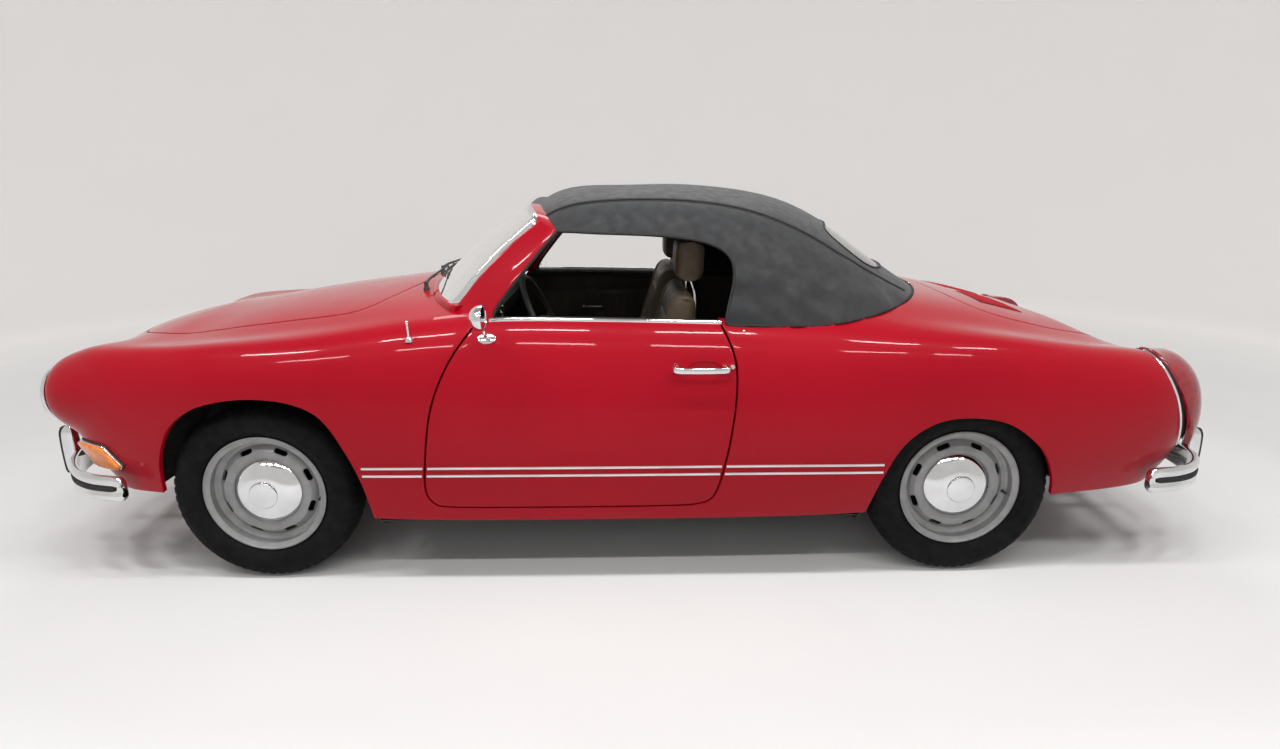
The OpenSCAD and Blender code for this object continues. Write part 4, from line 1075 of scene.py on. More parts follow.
def make_top_trim(p, t):
    """The welt round each edge of the top, and the long seams with their stitches."""
    edges = top_edges(p, t)
    parts = []
    for chain in edges["base"]:
        parts.append(tube(softened(even(chain, 0.012)) + [0, 0, 0.001], 0.0055, 8))
    for chain in edges["window"]:
        parts.append(tube(softened(even(chain, 0.012)), 0.0048, 8))
    u = np.linspace(0.62, 10.2, 130)
    seam = np.full_like(u, SEAM_LINE) + 0.06 * np.sin(u)
    for side in (LEFT, RIGHT):
        parts.append(sided(tube(on_top(u, seam, 0.0012), 0.0028, 6), side))
        for k in (-1, 1):
            parts.append(sided(tube(on_top(u, seam + k * STITCH_APART), 0.0009, 5), side))
    mesh_piece("top_piping", *joined(*parts), black_rubber, "car_body")


def make_rear_window():
    uv, tris = TOP.grid(14, 6.5, 11, 0, 4)

    def inside(p):
        return np.where(p[:, 0] > 0.70, depth_inside(p[:, 1:], REAR_LIGHT_EDGE), -1) + 0.004
    uv, tris = cut_grid(uv, tris, TOP.at, inside)
    p, t = weld(TOP.at(uv), tris)
    p, t = both_sides(p, t)
    n = vertex_normals(p, t)
    mesh_piece("rear_light", *rolled(p - n * 0.0035, t, 0.0004, 0.002), rear_film, "car_body",
               ["rear_window"])
    rim = [even(p[chain], 0.012) for chain in loops_of(rim_edges(t)) if len(chain) > 20]
    parts = [tube(softened(r, 12)[:-1], 0.0045, 8, closed=True) for r in rim]
    mesh_piece("rear_light_welt", *joined(*parts), black_rubber, "car_body")


def under_top(u_values, v_values, depth):
    uv = np.stack([u_values, v_values], 1)
    return TOP.at(uv) - TOP.normals(uv) * depth


def make_roof_bows():
    """Three steel bows under the cloth and the side rails over the windows."""
    parts = []
    for u, half in ((2.6, 0.022), (4.75, 0.022), (6.4, 0.018)):
        v = np.linspace(0, 3.0, 30)
        row = under_top(np.full_like(v, u), v, 0.018)
        path = np.concatenate([(row * [1, -1, 1])[::-1], row[1:]])
        section = [(-half, -0.006), (half, -0.006), (half, 0.006), (-half, 0.006)]
        parts.append(swept(path, section, up=(0.0, 0, 1)))
    u = np.linspace(0.9, 5.6, 50)
    parts += both(tube(under_top(u, np.full_like(u, 2.62), 0.020), 0.011, 8))
    mesh_piece("roof_frame", *joined(*parts), black_trim, "car_body", ["roof_bows"])


def make_snaps():
    """Small press studs along the foot of the top."""
    parts = []
    for side in (LEFT, RIGHT):
        for x, y in ((396, 722), (1172, 90)):
            q = pt(x, y, 0)
            q[2] = body_z(q[0], q[1])
            stud = turned([(0.0001, 0.004), (0.003, 0.0036), (0.005, 0.0022), (0.006, 0.0),
                           (0.006, -0.002)], 12)
            parts.append(sided(placed(stud, Matrix.Translation(q)), side))
    mesh_piece("top_studs", *joined(*parts), chrome, "car_body")


# ---------------------------------------------------------------- windscreen

def arc_bulge(f):
    return 18 * 4 * f * (1 - f)


LOW = through(np.array(GLASS_LOW, float), 6)
HIGH = through(np.array(GLASS_HIGH, float), 6)


def glass_point(f, k, outward=0.0):
    """A point of the windscreen: f up from the base, k along from the middle, in half steps."""
    b = arc_bulge(f)
    s = np.linspace(0, len(LOW) - 1, 400)
    low = np.stack([np.interp(s, range(len(LOW)), LOW[:, i]) for i in range(3)], 1)
    high = np.stack([np.interp(s, range(len(HIGH)), HIGH[:, i]) for i in range(3)], 1)
    q = low * (1 - f) + high * f
    p = np.array([np.interp(k, np.linspace(0, 1, 400), q[:, i]) for i in range(3)])
    p += np.array([-0.6 * b - 0.62 * outward, 0, 0.75 * b + 0.78 * outward])
    return pt(*p)


def glass_grid(outward, across=28, up=14, k1=1.0, f0=0.0, f1=1.0):
    rows = []
    for f in np.linspace(f0, f1, up + 1):
        half = [glass_point(f, k, outward) for k in np.linspace(0, k1, across + 1)]
        rows.append([q * [1, -1, 1] for q in half[:0:-1]] + half)
    return np.array(rows)


def make_windscreen():
    face = glass_grid(0.0)
    back = glass_grid(-5.0)
    n, m = face.shape[:2]
    p1, f1 = skin(face, closed=False)
    p2, f2 = skin(back, closed=False)
    rim = ([(0, j) for j in range(m)] + [(i, m - 1) for i in range(1, n)]
           + [(n - 1, j) for j in range(m - 2, -1, -1)] + [(i, 0) for i in range(n - 2, 0, -1)])
    ids = [i * m + j for i, j in rim]
    s = n * m
    wall = [(ids[(k + 1) % len(ids)], ids[k], ids[k] + s, ids[(k + 1) % len(ids)] + s)
            for k in range(len(ids))]
    faces = f1 + [tuple(k + s for k in reversed(f)) for f in f2] + wall
    mesh_piece("windscreen", np.concatenate([p1, p2]), faces, window_glass, "car_body",
               ["windscreen_glass"])


def rounded_outline(outward, inset, corner):
    """The outline of the glass, inset from its edge, with round corners, as a closed path."""
    face = glass_grid(outward, 60, 30)
    rim = np.concatenate([face[0], face[1:, -1], face[-1, -2::-1], face[-2:0:-1, 0]])
    rim = even(np.concatenate([rim, rim[:1]]), 0.008)[:-1]
    for _ in range(corner):
        rim = (np.roll(rim, 1, axis=0) + 2 * rim + np.roll(rim, -1, axis=0)) / 4
    centre = rim.mean(0)
    pull = unit(centre - rim)
    return rim + pull * inset


def glass_normal():
    a, b, c = glass_point(0, 0), glass_point(1, 0), glass_point(0.5, 0.4)
    n = np.cross(b - a, c - a)
    return n / np.linalg.norm(n) * (1 if n[0] < 0 else -1)


def make_windscreen_trim():
    """Chrome surround with a black rubber under it."""
    up = glass_normal()
    path = rounded_outline(1.0, 0.003, 30)
    half_round = [(0.012 * math.cos(a), 0.008 * math.sin(a)) for a in np.linspace(0, math.pi, 9)]
    section = half_round + [(-0.012, -0.012), (0.012, -0.012)]
    mesh_piece("windscreen_chrome", *swept(path, section, closed=True, up=up), chrome, "car_body")
    inner = rounded_outline(0.5, 0.018, 30)
    section = [(0.008, 0.0), (0.006, 0.004), (-0.006, 0.004), (-0.008, 0.0), (-0.006, -0.009),
               (0.006, -0.009)]
    mesh_piece("windscreen_rubber", *swept(inner, section, closed=True, up=up),
               black_rubber, "car_body")


def dense_loft(rings, steps=7, corner=3):
    """Smooth rings between the drawn ones, with their section corners rounded."""
    fine = through(np.array(rings, float), steps)
    out = []
    for ring in fine:
        m = len(ring)
        pts_ring = []
        for k in range(m):
            a, b, c = ring[k - 1], ring[k], ring[(k + 1) % m]
            for s in np.linspace(0, 1, corner + 1):
                p0, p2 = b + (a - b) * 0.28, b + (c - b) * 0.28
                pts_ring.append((1 - s) ** 2 * p0 + 2 * s * (1 - s) * b + s ** 2 * p2)
        out.append([pt(*q) for q in pts_ring])
    return skin(np.array(out))


def glass_side(z):
    """The outer edge of the glass at that height, in drawing millimetres."""
    rows = np.array([glass_point(f, 1.0) / MM + [DATUM, 0, 0] for f in np.linspace(0, 1, 30)])
    return np.array([np.interp(z, rows[:, 2], rows[:, k]) for k in range(3)])


def fitted_pillar():
    """The pillar sections, with their front edge drawn to the glass."""
    rings = []
    for ring in PILLAR:
        a, b, c, d = (np.array(q, float) for q in ring)
        if a[2] > 910:
            edge = glass_side((a[2] + b[2]) / 2 + 12)
            a = edge + [14, -10, -14]
            b = edge + [4, 9, -2]
        rings.append([a, b, c, d])
    return rings


def fitted_header():
    """The header sections, lowered so that the top lies over them."""
    return [[np.array(a), np.array(b) + [6, 0, -13], np.array(c) - [0, 0, 18], np.array(d)]
            for a, b, c, d in HEADER]


def make_windscreen_frame():
    parts = []
    for side in (LEFT, RIGHT):
        for rings in (fitted_pillar(), fitted_header(), BASE_RAIL):
            parts.append(sided(dense_loft(rings), side))
    mesh_piece("windscreen_surround", *joined(*parts), paint, "car_body",
               ["windscreen_frame"])
    rings = through(np.array(PILLAR, float), 7)
    path = np.array([pt(*((q[2] + q[3]) / 2 + np.array([4, 4, 0]))) for q in rings])
    mesh_piece("pillar_seals", *joined(*both(tube(path, 0.007, 8))), black_rubber, "car_body")


# ---------------------------------------------------------------- wheels

CORNERS = ("front_left", "front_right", "rear_left", "rear_right")


def wheel_place(corner):
    """Half width and radius of the tyre, its side, and the matrix that stands a turned part there.
    The part's Z points out of the car, and it is drawn for the right side."""
    lo, hi = (np.array(c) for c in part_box("tyre_" + corner))
    mid, half = (lo + hi) / 2, (hi - lo) / 2
    side = LEFT if "left" in corner else RIGHT
    at = Matrix.Translation((mid[0], abs(mid[1]), mid[2])) @ Matrix.Rotation(-math.pi / 2, 4, "X")
    return half[1], half[2], side, at


def tread_depth(h, angle, pitches=60):
    """Depth of the grooves, in metres, at height h from the middle plane and that angle."""
    wave = np.abs((angle * pitches / (2 * math.pi)) % 1 - 0.5) * 4 - 1
    depth = np.zeros(np.broadcast(h, angle).shape)
    for centre, swing, half in ((-0.034, 0.0016, 0.0028), (-0.0115, 0.0024, 0.0026),
                                (0.0115, 0.0024, 0.0026), (0.034, 0.0016, 0.0028)):
        away = np.abs(h - centre - swing * wave)
        depth = np.maximum(depth, 0.0065 * ease((half + 0.0012 - away) / 0.0016))
    notch = ease((np.abs(h) - 0.042) / 0.003) * (wave > 0.45)
    return np.maximum(depth, 0.0045 * notch)


def tyre_part(w, r):
    wall = through(np.array([(-0.1237, w - 0.029), (-0.113, w - 0.0275), (-0.103, w - 0.022),
                             (-0.095, w - 0.012), (-0.077, w - 0.003), (-0.057, w - 0.0002),
                             (-0.035, w - 0.003), (-0.024, w - 0.008), (-0.017, w - 0.0145)]), 3)
    wall[:, 0] += r
    for at, high in ((r - 0.089, 0.0012), (r - 0.030, 0.0010)):
        wall[:, 1] -= high * np.exp(-((wall[:, 0] - at) / 0.0012) ** 2)
    h = np.linspace(w - 0.019, 0.019 - w, 46)
    crown = r - np.interp(np.abs(h), [0, 0.035, w - 0.027, w - 0.021, w - 0.014],
                          [0, 0.001, 0.006, 0.011, 0.017])
    profile = np.concatenate([wall, np.stack([crown, h], 1), wall[::-1] * [1, -1]])
    angle = round_angles(240)
    radius = np.repeat(profile[:, :1], len(angle), axis=1)
    tread = slice(len(wall), len(wall) + len(h))
    radius[tread] -= tread_depth(profile[tread, 1:], angle[None])
    rings = np.stack([radius * np.cos(angle), radius * np.sin(angle),
                      np.repeat(profile[:, 1:], len(angle), axis=1)], -1)
    return skin(np.concatenate([rings, rings[:1]]), caps=False)


def make_tyre(corner):
    w, r, side, at = wheel_place(corner)
    part = sided(placed(tyre_part(w, r), at), side)
    mesh_piece("tyre_rubber_" + corner, *part, tyre_rubber, "road_wheel_" + corner,
               ["tyre_" + corner], sharp=50)


HUB_CAP = [(44, 79.4), (46.8, 78.2), (47.8, 75.6), (49.6, 74.0), (58, 73.0), (70, 70.6), (82, 66.6),
           (94, 61.0), (104, 54.4), (111, 48.6), (115.6, 44.2), (118, 41.2), (117.2, 39.2),
           (115, 38.7), (112.4, 42.0)]


def make_hub_cap(corner):
    *_, side, at = wheel_place(corner)
    face = np.concatenate([[(0.01, 80), (30, 79.9)], through(np.array(HUB_CAP, float), 3)])
    back = [(100, 51), (78, 62), (40, 70), (0.01, 71)]
    part = inside_out(turned(np.concatenate([face, back]) * MM, 96))
    mesh_piece("hub_cap_dome_" + corner, *sided(placed(part, at), side), chrome, "road_wheel_" + corner,
               ["hub_cap_" + corner], sharp=35)


def make_valve(corner):
    *_, side, at = wheel_place(corner)
    stem = tube([(0.172, 0.03, 0.014), (0.174, 0.03, 0.030), (0.176, 0.03, 0.046)], 0.0042, 10,
                taper=(1.2, 1.0, 0.85), up=(0, 1, 0))
    mesh_piece("valve_" + corner, *sided(placed(stem, at), side), black_rubber,
               "road_wheel_" + corner)


def make_brake_drum(corner):
    """The dark drum and back plate seen through the slots of the wheel."""
    *_, side, at = wheel_place(corner)
    profile = [(162, -40), (162, -36), (127, -34), (125.5, -30), (125.5, 12), (121, 17), (100, 21),
               (100, 23), (122, 20), (128, 14), (128, -30), (163, -34), (164, -40), (162, -40)]
    drum = turned(np.array(profile) * MM, 72)
    mesh_piece("brake_drum_" + corner, *sided(placed(drum, at), side), chassis_black,
               "road_wheel_" + corner)


# ---------------------------------------------------------------- bumpers

BLADE_SHELL = [(-14, 86), (-8, 89.4), (0, 89.8), (6, 86), (9.4, 80), (10, 73), (9, 66), (5, 58),
               (4, 45), (5, 32), (9, 24), (10, 16), (8.4, 8), (2, 1), (-6, 0), (-13, 4), (-15, 20),
               (-15, 70)]
BLADE_RUBBER = [(3, 36), (7.4, 36.6), (9.4, 39), (10, 45), (9.4, 51), (7.4, 53.4), (3, 54)]
GUARD_RINGS = [(0.02, 30, 42, 10), (0.05, 17, 51, 17), (0.16, 11, 57, 21), (0.5, 9.5, 60, 22),
               (0.8, 12, 60, 21.5), (0.92, 18, 58, 19), (0.98, 28, 54, 14), (1.0, 37, 47, 8)]


def blade_path(line):
    half = through(np.array(line, float), 10)
    full = np.concatenate([half[:0:-1] * [1, -1], half])
    return np.column_stack([full, np.zeros(len(full))])


def blade_part(line, z, outward, section, trim=0):
    """A section of (outward, up) swept along the plan line of a bumper."""
    path = blade_path(line)
    if trim:
        path = path[trim:-trim]
    d = unit(np.gradient(path, axis=0))
    out = np.stack([d[:, 1], -d[:, 0], d[:, 2]], 1) * outward
    run = np.append(0, np.linalg.norm(np.diff(path, axis=0), axis=1).cumsum())
    near = np.clip(1 - np.minimum(run, run[-1] - run) / 26, 0, 1)
    keep = np.sqrt(np.clip(1 - 0.62 * near ** 3, 0, 1))
    rings = np.array([[pt(*(p + n * s[0] + [0, 0, z + 45 + (s[1] - 45) * k])) for s in section]
                      for p, n, k in zip(path, out, keep)])
    return skin(rings if outward < 0 else rings[:, ::-1])


def guard_ring(x_near, x_far, half, y, z):
    """One level of a guard: an oval with flat sides."""
    a = round_angles(28)
    c, s = np.cos(a), np.sin(a)
    px, py = np.sign(c) * np.abs(c) ** 0.55, np.sign(s) * np.abs(s) ** 0.55
    mid, reach = (x_near + x_far) / 2, (x_far - x_near) / 2
    return [pt(mid + reach * u, y + half * v, z) for u, v in zip(px, py)]


def guard_part(face, y, low, high, inward):
    rings = through(np.array([[f, a, b, h] for f, a, b, h in GUARD_RINGS], float), 4)
    loops = [guard_ring(face + inward * a, face + inward * b, h, y, low + (high - low) * f)
             for f, a, b, h in rings]
    part = skin(np.array(loops))
    return part if inward > 0 else inside_out(part)


def guard_strip(face, y, low, high, inward):
    """The rubber face of a guard."""
    line = through(np.array([(0.045, 15), (0.08, 11), (0.16, 8.4), (0.5, 7.2), (0.8, 9.4), (0.9, 14.6),
                             (0.955, 20.5)]), 5)
    path = np.array([pt(face + inward * x, y, low + (high - low) * f) for f, x in line])
    section = [(-0.0135, 0.007), (-0.0135, -0.003), (-0.0115, -0.0056), (-0.006, -0.0066),
               (0.006, -0.0066), (0.0115, -0.0056), (0.0135, -0.003), (0.0135, 0.007)]
    return swept(path, section, up=(inward, 0, 0))


def make_bumper(name, line, z, outward, face, guard_y, low, high):
    blade = blade_part(line, z, outward, BLADE_SHELL)
    guards = both(guard_part(face, guard_y, low, high, -outward))
    strip = blade_part(line, z, outward, BLADE_RUBBER, 3)
    strips = [strip] + both(guard_strip(face, guard_y, low, high, -outward))
    near, far = (-2022, -1720) if outward < 0 else (1910, 2096)
    arms = both(rounded_box(pt(near, 312, z + 20), pt(far, 348, z + 64), 0.004))
    mesh_piece(name + "_blade", *joined(blade, *guards), chrome, "car_body", [name])
    mesh_piece(name + "_arms", *joined(*arms), chassis_black, "car_body")
    mesh_piece(name + "_rubber", *joined(*strips), black_rubber, "car_body")


# ---------------------------------------------------------------- lamps

def lamp_place():
    at = pt(LAMP["face"], LAMP["y"], LAMP["z"])
    return Matrix.Translation(at) @ Matrix.Rotation(-math.pi / 2, 4, "Y")


def make_headlamps():
    r = LAMP["radius"]
    ring = [(r - 5, 12), (r - 3.4, 16.6), (r, 18.8), (r + 4, 17), (r + 7, 12), (r + 8, 6), (r + 8, 1),
            (r + 3, 0.6), (r, -2), (r, -12), (r - 5, -13)]
    lens = [(0.01, 32.4), (20, 31.6), (36, 30), (52, 27.6), (66, 24.4), (76, 21), (r - 5.4, 16.6),
            (r - 5.4, 13), (76, 17.4), (66, 20.6), (52, 23.8), (36, 26.2), (20, 27.8), (0.01, 28.6)]
    bowl = [(r - 5.4, 8), (80, -10), (70, -32), (52, -52), (28, -62), (0.01, -65), (0.01, -68),
            (30, -65), (54, -55), (73, -34), (83, -12), (r - 3.6, 8)]
    bulb = [(0.01, -18), (6, -20), (9, -28), (9, -38), (6, -48), (6, -64), (0.01, -64)]
    parts = {}
    for name, profile in (("ring", ring), ("lens", lens), ("bowl", bowl), ("bulb", bulb)):
        part = inside_out(turned(np.array(profile + profile[:1]) * MM, 72))
        parts[name] = both(placed(part, lamp_place()))
    mesh_piece("headlamp_rings", *joined(*parts["ring"], *parts["bowl"]), chrome, "car_body",
               ["headlamps"], sharp=50)
    mesh_piece("headlamp_glass", *joined(*parts["lens"]), lamp_glass, "car_body")
    mesh_piece("headlamp_bulbs", *joined(*parts["bulb"]), lamp_glass, "car_body")


SIGNAL_LINE = [(-1862, 424), (-1866, 470), (-1850, 505), (-1800, 504), (-1745, 498), (-1690, 432),
               (-1694, 417), (-1780, 419)]
TAIL_LAMP_LINE = [(1828, 790), (1852, 735), (1872, 690), (1896, 640), (1915, 590), (1934, 530),
                  (1948, 465), (2060, 455), (2110, 455), (2110, 640), (2110, 810), (1990, 812)]


def body_patch(line, grow, density, window, low_y, lift):
    """A patch of the body's surface inside a side line, lifted off it."""
    edge = side_line(line)

    def field(p):
        return np.minimum(seen_from_side(p, edge) + grow, p[:, 1] - low_y + grow)
    uv, tris = BODY.grid(density, *window)
    uv, tris = cut_grid(uv, tris, BODY.at, field)
    p, t = weld(BODY.at(uv), tris)
    height = lift(p)[:, None] if callable(lift) else lift
    return p + vertex_normals(p, t) * height, t


def make_turn_signals():
    """Amber lenses under the lamps, each in a chrome rim on a rubber foot."""
    window = (1, 6, 4, 8)
    lens = both(rolled(*body_patch(SIGNAL_LINE, -0.006, 30, window, 0.45, 0.022), 0.005, 0.010, steps=4))
    bezel = both(rolled(*body_patch(SIGNAL_LINE, -0.0015, 24, window, 0.45, 0.012), 0.0025, 0.008))
    base = both(rolled(*body_patch(SIGNAL_LINE, 0.0025, 20, window, 0.45, 0.004), 0.0015, 0.006))
    mesh_piece("turn_signal_lenses", *joined(*lens), amber_lens, "car_body", ["turn_signals"])
    mesh_piece("turn_signal_bezels", *joined(*bezel), chrome, "car_body")
    mesh_piece("turn_signal_seals", *joined(*base), black_rubber, "car_body")


def tail_lamp_height(p):
    """The lens stands further off the wing towards its back."""
    return 0.010 + 0.024 * ease((p[:, 0] - 1.815) / 0.11)


def make_tail_lamps():
    """Red lenses round the rear corners, their seals and the chrome bead in front of each."""
    window = (17, 22, 2, 8)
    patch = body_patch(TAIL_LAMP_LINE, -0.004, 22, window, 0.560, tail_lamp_height)
    lens = both(rolled(*patch, 0.006, 0.014, steps=4))
    seals = both(rolled(*body_patch(TAIL_LAMP_LINE, 0.003, 15, window, 0.555, 0.003), 0.0015, 0.005))
    front = side_line([(1818, 779), (1838, 735), (1858, 690), (1882, 640), (1901, 590),
                       (1920, 530), (1936, 455)], 5)
    path = softened(np.array([side_point(x, z) for x, z in front]), 4)
    beads = both(tube(path + [0, 0.001, 0], 0.0048, 10))
    mesh_piece("tail_lamp_lenses", *joined(*lens), red_lens, "car_body", ["tail_lights"])
    mesh_piece("tail_lamp_seals", *joined(*seals), black_rubber, "car_body")
    mesh_piece("fender_beads", *joined(*beads), chrome, "car_body")


# ---------------------------------------------------------------- bright trim

def side_point(x, z):
    """The body's surface on the right side at that x and z."""
    hit = BODY_TREE.ray_cast(Vector((x, 2, z)), Vector((0, -1, 0)))
    if hit[0] is None or hit[0].y < 0.3:
        hit = BODY_TREE.find_nearest(Vector((x, 0.62, z)))
    return np.array(hit[0])


def side_normal(x, z):
    a, b = side_point(x - 0.01, z), side_point(x + 0.01, z)
    c, d = side_point(x, z - 0.01), side_point(x, z + 0.01)
    n = np.cross(b - a, d - c)
    return unit(n) * (1 if n[1] > 0 else -1)


def stripe(x0, x1, z, half=0.004, proud=0.0030):
    """A flat chrome strip along the body side."""
    x = np.linspace(x0, x1, max(6, int((x1 - x0) / 0.012)))
    path = softened(np.array([side_point(a, z) for a in x]), 4)
    section = [(-0.002, -half), (proud * 0.5, -half), (proud, -half * 0.4), (proud, half * 0.4),
               (proud * 0.5, half), (-0.002, half)]
    return inside_out(swept(path, [(-a, b) for a, b in section]))


STRIPE_HEIGHTS = (0.440, 0.412)


def make_stripes():
    """Two strips along each side, parted at the doors."""
    def x_at(z, k):
        row = DOOR_EDGE[:60] if k == 0 else DOOR_EDGE[60:]
        return row[np.argmin(np.abs(row[:, 1] - z)), 0]
    for name, body in (("front", "car_body"), ("door", None), ("rear", "car_body")):
        for side in (LEFT, RIGHT):
            parts = []
            for z in STRIPE_HEIGHTS:
                front, back = x_at(z, 0), x_at(z, 1)
                span = {"front": (-0.905, front - 0.010), "door": (front + 0.006, back - 0.006),
                        "rear": (back + 0.010, 0.822)}[name]
                parts.append(sided(stripe(*span, z), side))
            end = "left" if side == LEFT else "right"
            mesh_piece(f"side_strips_{name}_{end}", *joined(*parts), chrome,
                       body or "door_" + end)


def belt_path(x0, x1, y, lift):
    x = np.linspace(x0, x1, 70)
    return softened(np.array([(a, y, body_z(a, y) + lift) for a in x]), 6)


def make_belt_strips():
    for side, end in ((LEFT, "left"), (RIGHT, "right")):
        path = belt_path(-0.478, 0.284, BELT_Y + 0.004, -0.001)
        a = np.linspace(0, 2 * math.pi, 13)[:-1]
        section = [(0.0065 * math.cos(k), 0.0085 * math.sin(k)) for k in a]
        mesh_piece("belt_strip_" + end, *sided(swept(path, section), side), chrome, "door_" + end)


def front_point(y, z):
    hit = BODY_TREE.ray_cast(Vector((-3, y, z)), Vector((1, 0, 0)))
    return np.array(hit[0]), np.array(hit[1])


def faced(at, normal):
    """A matrix whose Z lies along the normal."""
    turn = Vector(normal).to_track_quat("Z", "Y").to_matrix().to_4x4()
    return Matrix.Translation(at) @ turn


def outward_normal(p, n):
    middle = np.array([0, 0, 0.5])
    return n if np.dot(n, p - middle) > 0 else -n


def make_badge():
    """A plain disc on the nose."""
    p, n = front_point(0.0, 0.715)
    disc = knob([(0.01, 4), (20, 3.8), (24, 3.2), (26, 1.8), (26.4, -3), (0.01, -3)], 40)
    mesh_piece("nose_disc", *placed(disc, faced(p, outward_normal(p, n))), chrome, "car_body")


OVAL_POINTS = 48


def oval(a, b, count=OVAL_POINTS):
    t = round_angles(count)
    return np.stack([a * np.cos(t), b * np.sin(t)], 1)


def on_nose(y, z, lift):
    p, n = front_point(y, z)
    return p + outward_normal(p, n) * lift


NOSTRIL_AT = (0.262, 0.560)


def make_nostrils():
    """Two oval air grilles in the nose: a chrome ring, bars, and a black disc behind the bars that paints
    the shade inside the opening.
    """
    rings, painted_shade_discs, bars = [], [], []
    yc, zc = NOSTRIL_AT
    for side in (LEFT, RIGHT):
        rim = np.array([on_nose(yc + a, zc + b, 0.001) for a, b in oval(0.066, 0.030)])
        rings.append(sided(tube(rim, 0.0045, 8, closed=True, up=(-1, 0, 0)), side))
        # The black disc is painted shade standing in for the dark inside of the grille opening.
        loops = [[on_nose(yc + a * k, zc + b * k, 0.0016) for a, b in oval(0.065, 0.029)]
                 for k in (1, 0.66, 0.33, 0.02)]
        p, f = skin(np.array(loops), caps=False)
        back = p + [0.006, 0, 0]
        m = len(p)
        wall = [(j, (j + 1) % OVAL_POINTS, (j + 1) % OVAL_POINTS + m, j + m)
                for j in range(OVAL_POINTS)]
        painted_shade_discs.append(sided((np.concatenate([p, back]), f + [tuple(k + m for k in reversed(q)) for q in f]
                             + [tuple(reversed(q)) for q in wall]), side))
        for k in (-2, -1, 0, 1, 2):
            b = k * 0.0098
            reach = 0.064 * math.sqrt(max(0, 1 - (b / 0.030) ** 2))
            row = np.array([on_nose(yc + y, zc + b, 0.004) for y in np.linspace(-reach, reach, 12)])
            bars.append(sided(tube(row, 0.0021, 8), side))
    mesh_piece("nose_grille_trim", *joined(*rings, *bars), chrome, "car_body")
    # Painted shade: black discs in place of the shadowed grille openings.
    mesh_piece("nose_grille_painted_shade_discs", *joined(*painted_shade_discs), black_trim, "car_body")


LOUVRE_Y = [0.075 + k * 0.026 for k in range(9)]


def make_louvres():
    """Raised air louvres on the engine lid, each with a black strip beside it that paints the shade inside
    its slot opening.
    """
    lips, slot_shades = [], []
    for side in (LEFT, RIGHT):
        for y in LOUVRE_Y:
            x = np.linspace(1.335, 1.505, 22)
            path = softened(np.array([(a, y, body_z(a, y)) for a in x]), 3)
            rise = np.sin(np.linspace(0, math.pi, len(x))) ** 0.4
            lips.append(sided(tube(path + [0, 0, -0.0015], 0.0066, 10, taper=0.35 + 0.65 * rise), side))
            # A black strip beside each lip is painted shade standing in for the open slot.
            slot_shades.append(sided(swept(path + [0, 0.0085, 0.0002],
                                     [(-0.003, -0.002), (0.003, -0.002), (0.003, 0.0008), (-0.003, 0.0008)]),
                               side))
    mesh_piece("engine_lid_louvres", *joined(*lips), paint, "engine_lid")
    # Painted shade: black strips in place of the shadowed louvre openings.
    mesh_piece("engine_lid_slot_shades", *joined(*slot_shades), black_trim, "engine_lid")


HANDLE_Z = 771
CUP_STRETCH = [2.2, 1.0, 1]
Z_TO_SIDE = Matrix(((1, 0, 0, 0), (0, 0, 1, 0), (0, -1, 0, 0), (0, 0, 0, 1)))


def make_door_handle(side, end):
    line = [(158, 812), (164, 828), (186, 836), (250, 839), (310, 837), (334, 831), (342, 818)]
    path = through(np.array([pt(x, y, HANDLE_Z) for x, y in line]), 6)
    a = np.linspace(0, 2 * math.pi, 15)[:-1]
    section = [(0.0040 * math.cos(k), 0.0095 * math.sin(k)) for k in a]
    parts = [swept(path, section)]
    for x in (172, 326):
        foot = side_point(*pt(x, 0, HANDLE_Z)[[0, 2]])
        parts.append(tube([foot - [0, 0.004, 0], foot + [0, 0.014, 0], foot + [0, 0.026, 0]], 0.010, 14,
                          taper=(1.35, 1.0, 0.8), up=(1, 0, 0)))
    button = knob([(0.01, 9), (7, 8.4), (9, 6), (9.4, -6), (0.01, -6)], 24)
    at = pt(352, 0, HANDLE_Z)
    parts.append(placed(button, faced(side_point(at[0], at[2]), side_normal(at[0], at[2]))))
    mesh_piece("door_handle_bar_" + end, *sided(joined(*parts), side), chrome, "door_" + end,
               ["door_handle_" + end])
    p, f = knob([(0.01, 0.8), (18, 1.0), (22, 2.2), (25, 0.6), (25, -3), (0.01, -3)], 40)
    at = pt(262, 0, HANDLE_Z)
    turn = Matrix.Translation(side_point(at[0], at[2])) @ Z_TO_SIDE
    cup = placed((p * CUP_STRETCH, f), turn)
    mesh_piece("door_handle_cup_" + end, *sided(cup, side), paint, "door_" + end)


def make_mirror(side, end):
    head = [(0.01, 9), (40, 9), (46, 9.4), (48, 12), (51, 12), (52, 9), (51.4, 2), (48, -8), (40, -19),
            (28, -27), (14, -31), (0.01, -32)]
    p, f = knob(head, 56)
    p = np.stack([p[:, 2], p[:, 0], p[:, 1] * 0.79], 1) + pt(-440, 850, 948)
    foot = side_point(-0.480, 0.862)
    stalk = through(np.array([foot - [0, 0.004, 0], foot + [0, 0.028, 0.018], pt(-440, 800, 912),
                              pt(-440, 836, 934)]), 6)
    plate, plate_faces = knob([(0.01, 4), (15, 3.6), (19, 2), (20, -4), (0.01, -4)], 32)
    at_foot = faced(foot, side_normal(foot[0], foot[2]))
    parts = [(p, f), tube(stalk, 0.0065, 12, up=(1, 0, 0)),
             placed((plate * [1.5, 1, 1], plate_faces), at_foot)]
    mesh_piece("door_mirror_head_" + end, *sided(joined(*parts), side), chrome, "door_" + end,
               ["door_mirror_" + end], sharp=35)


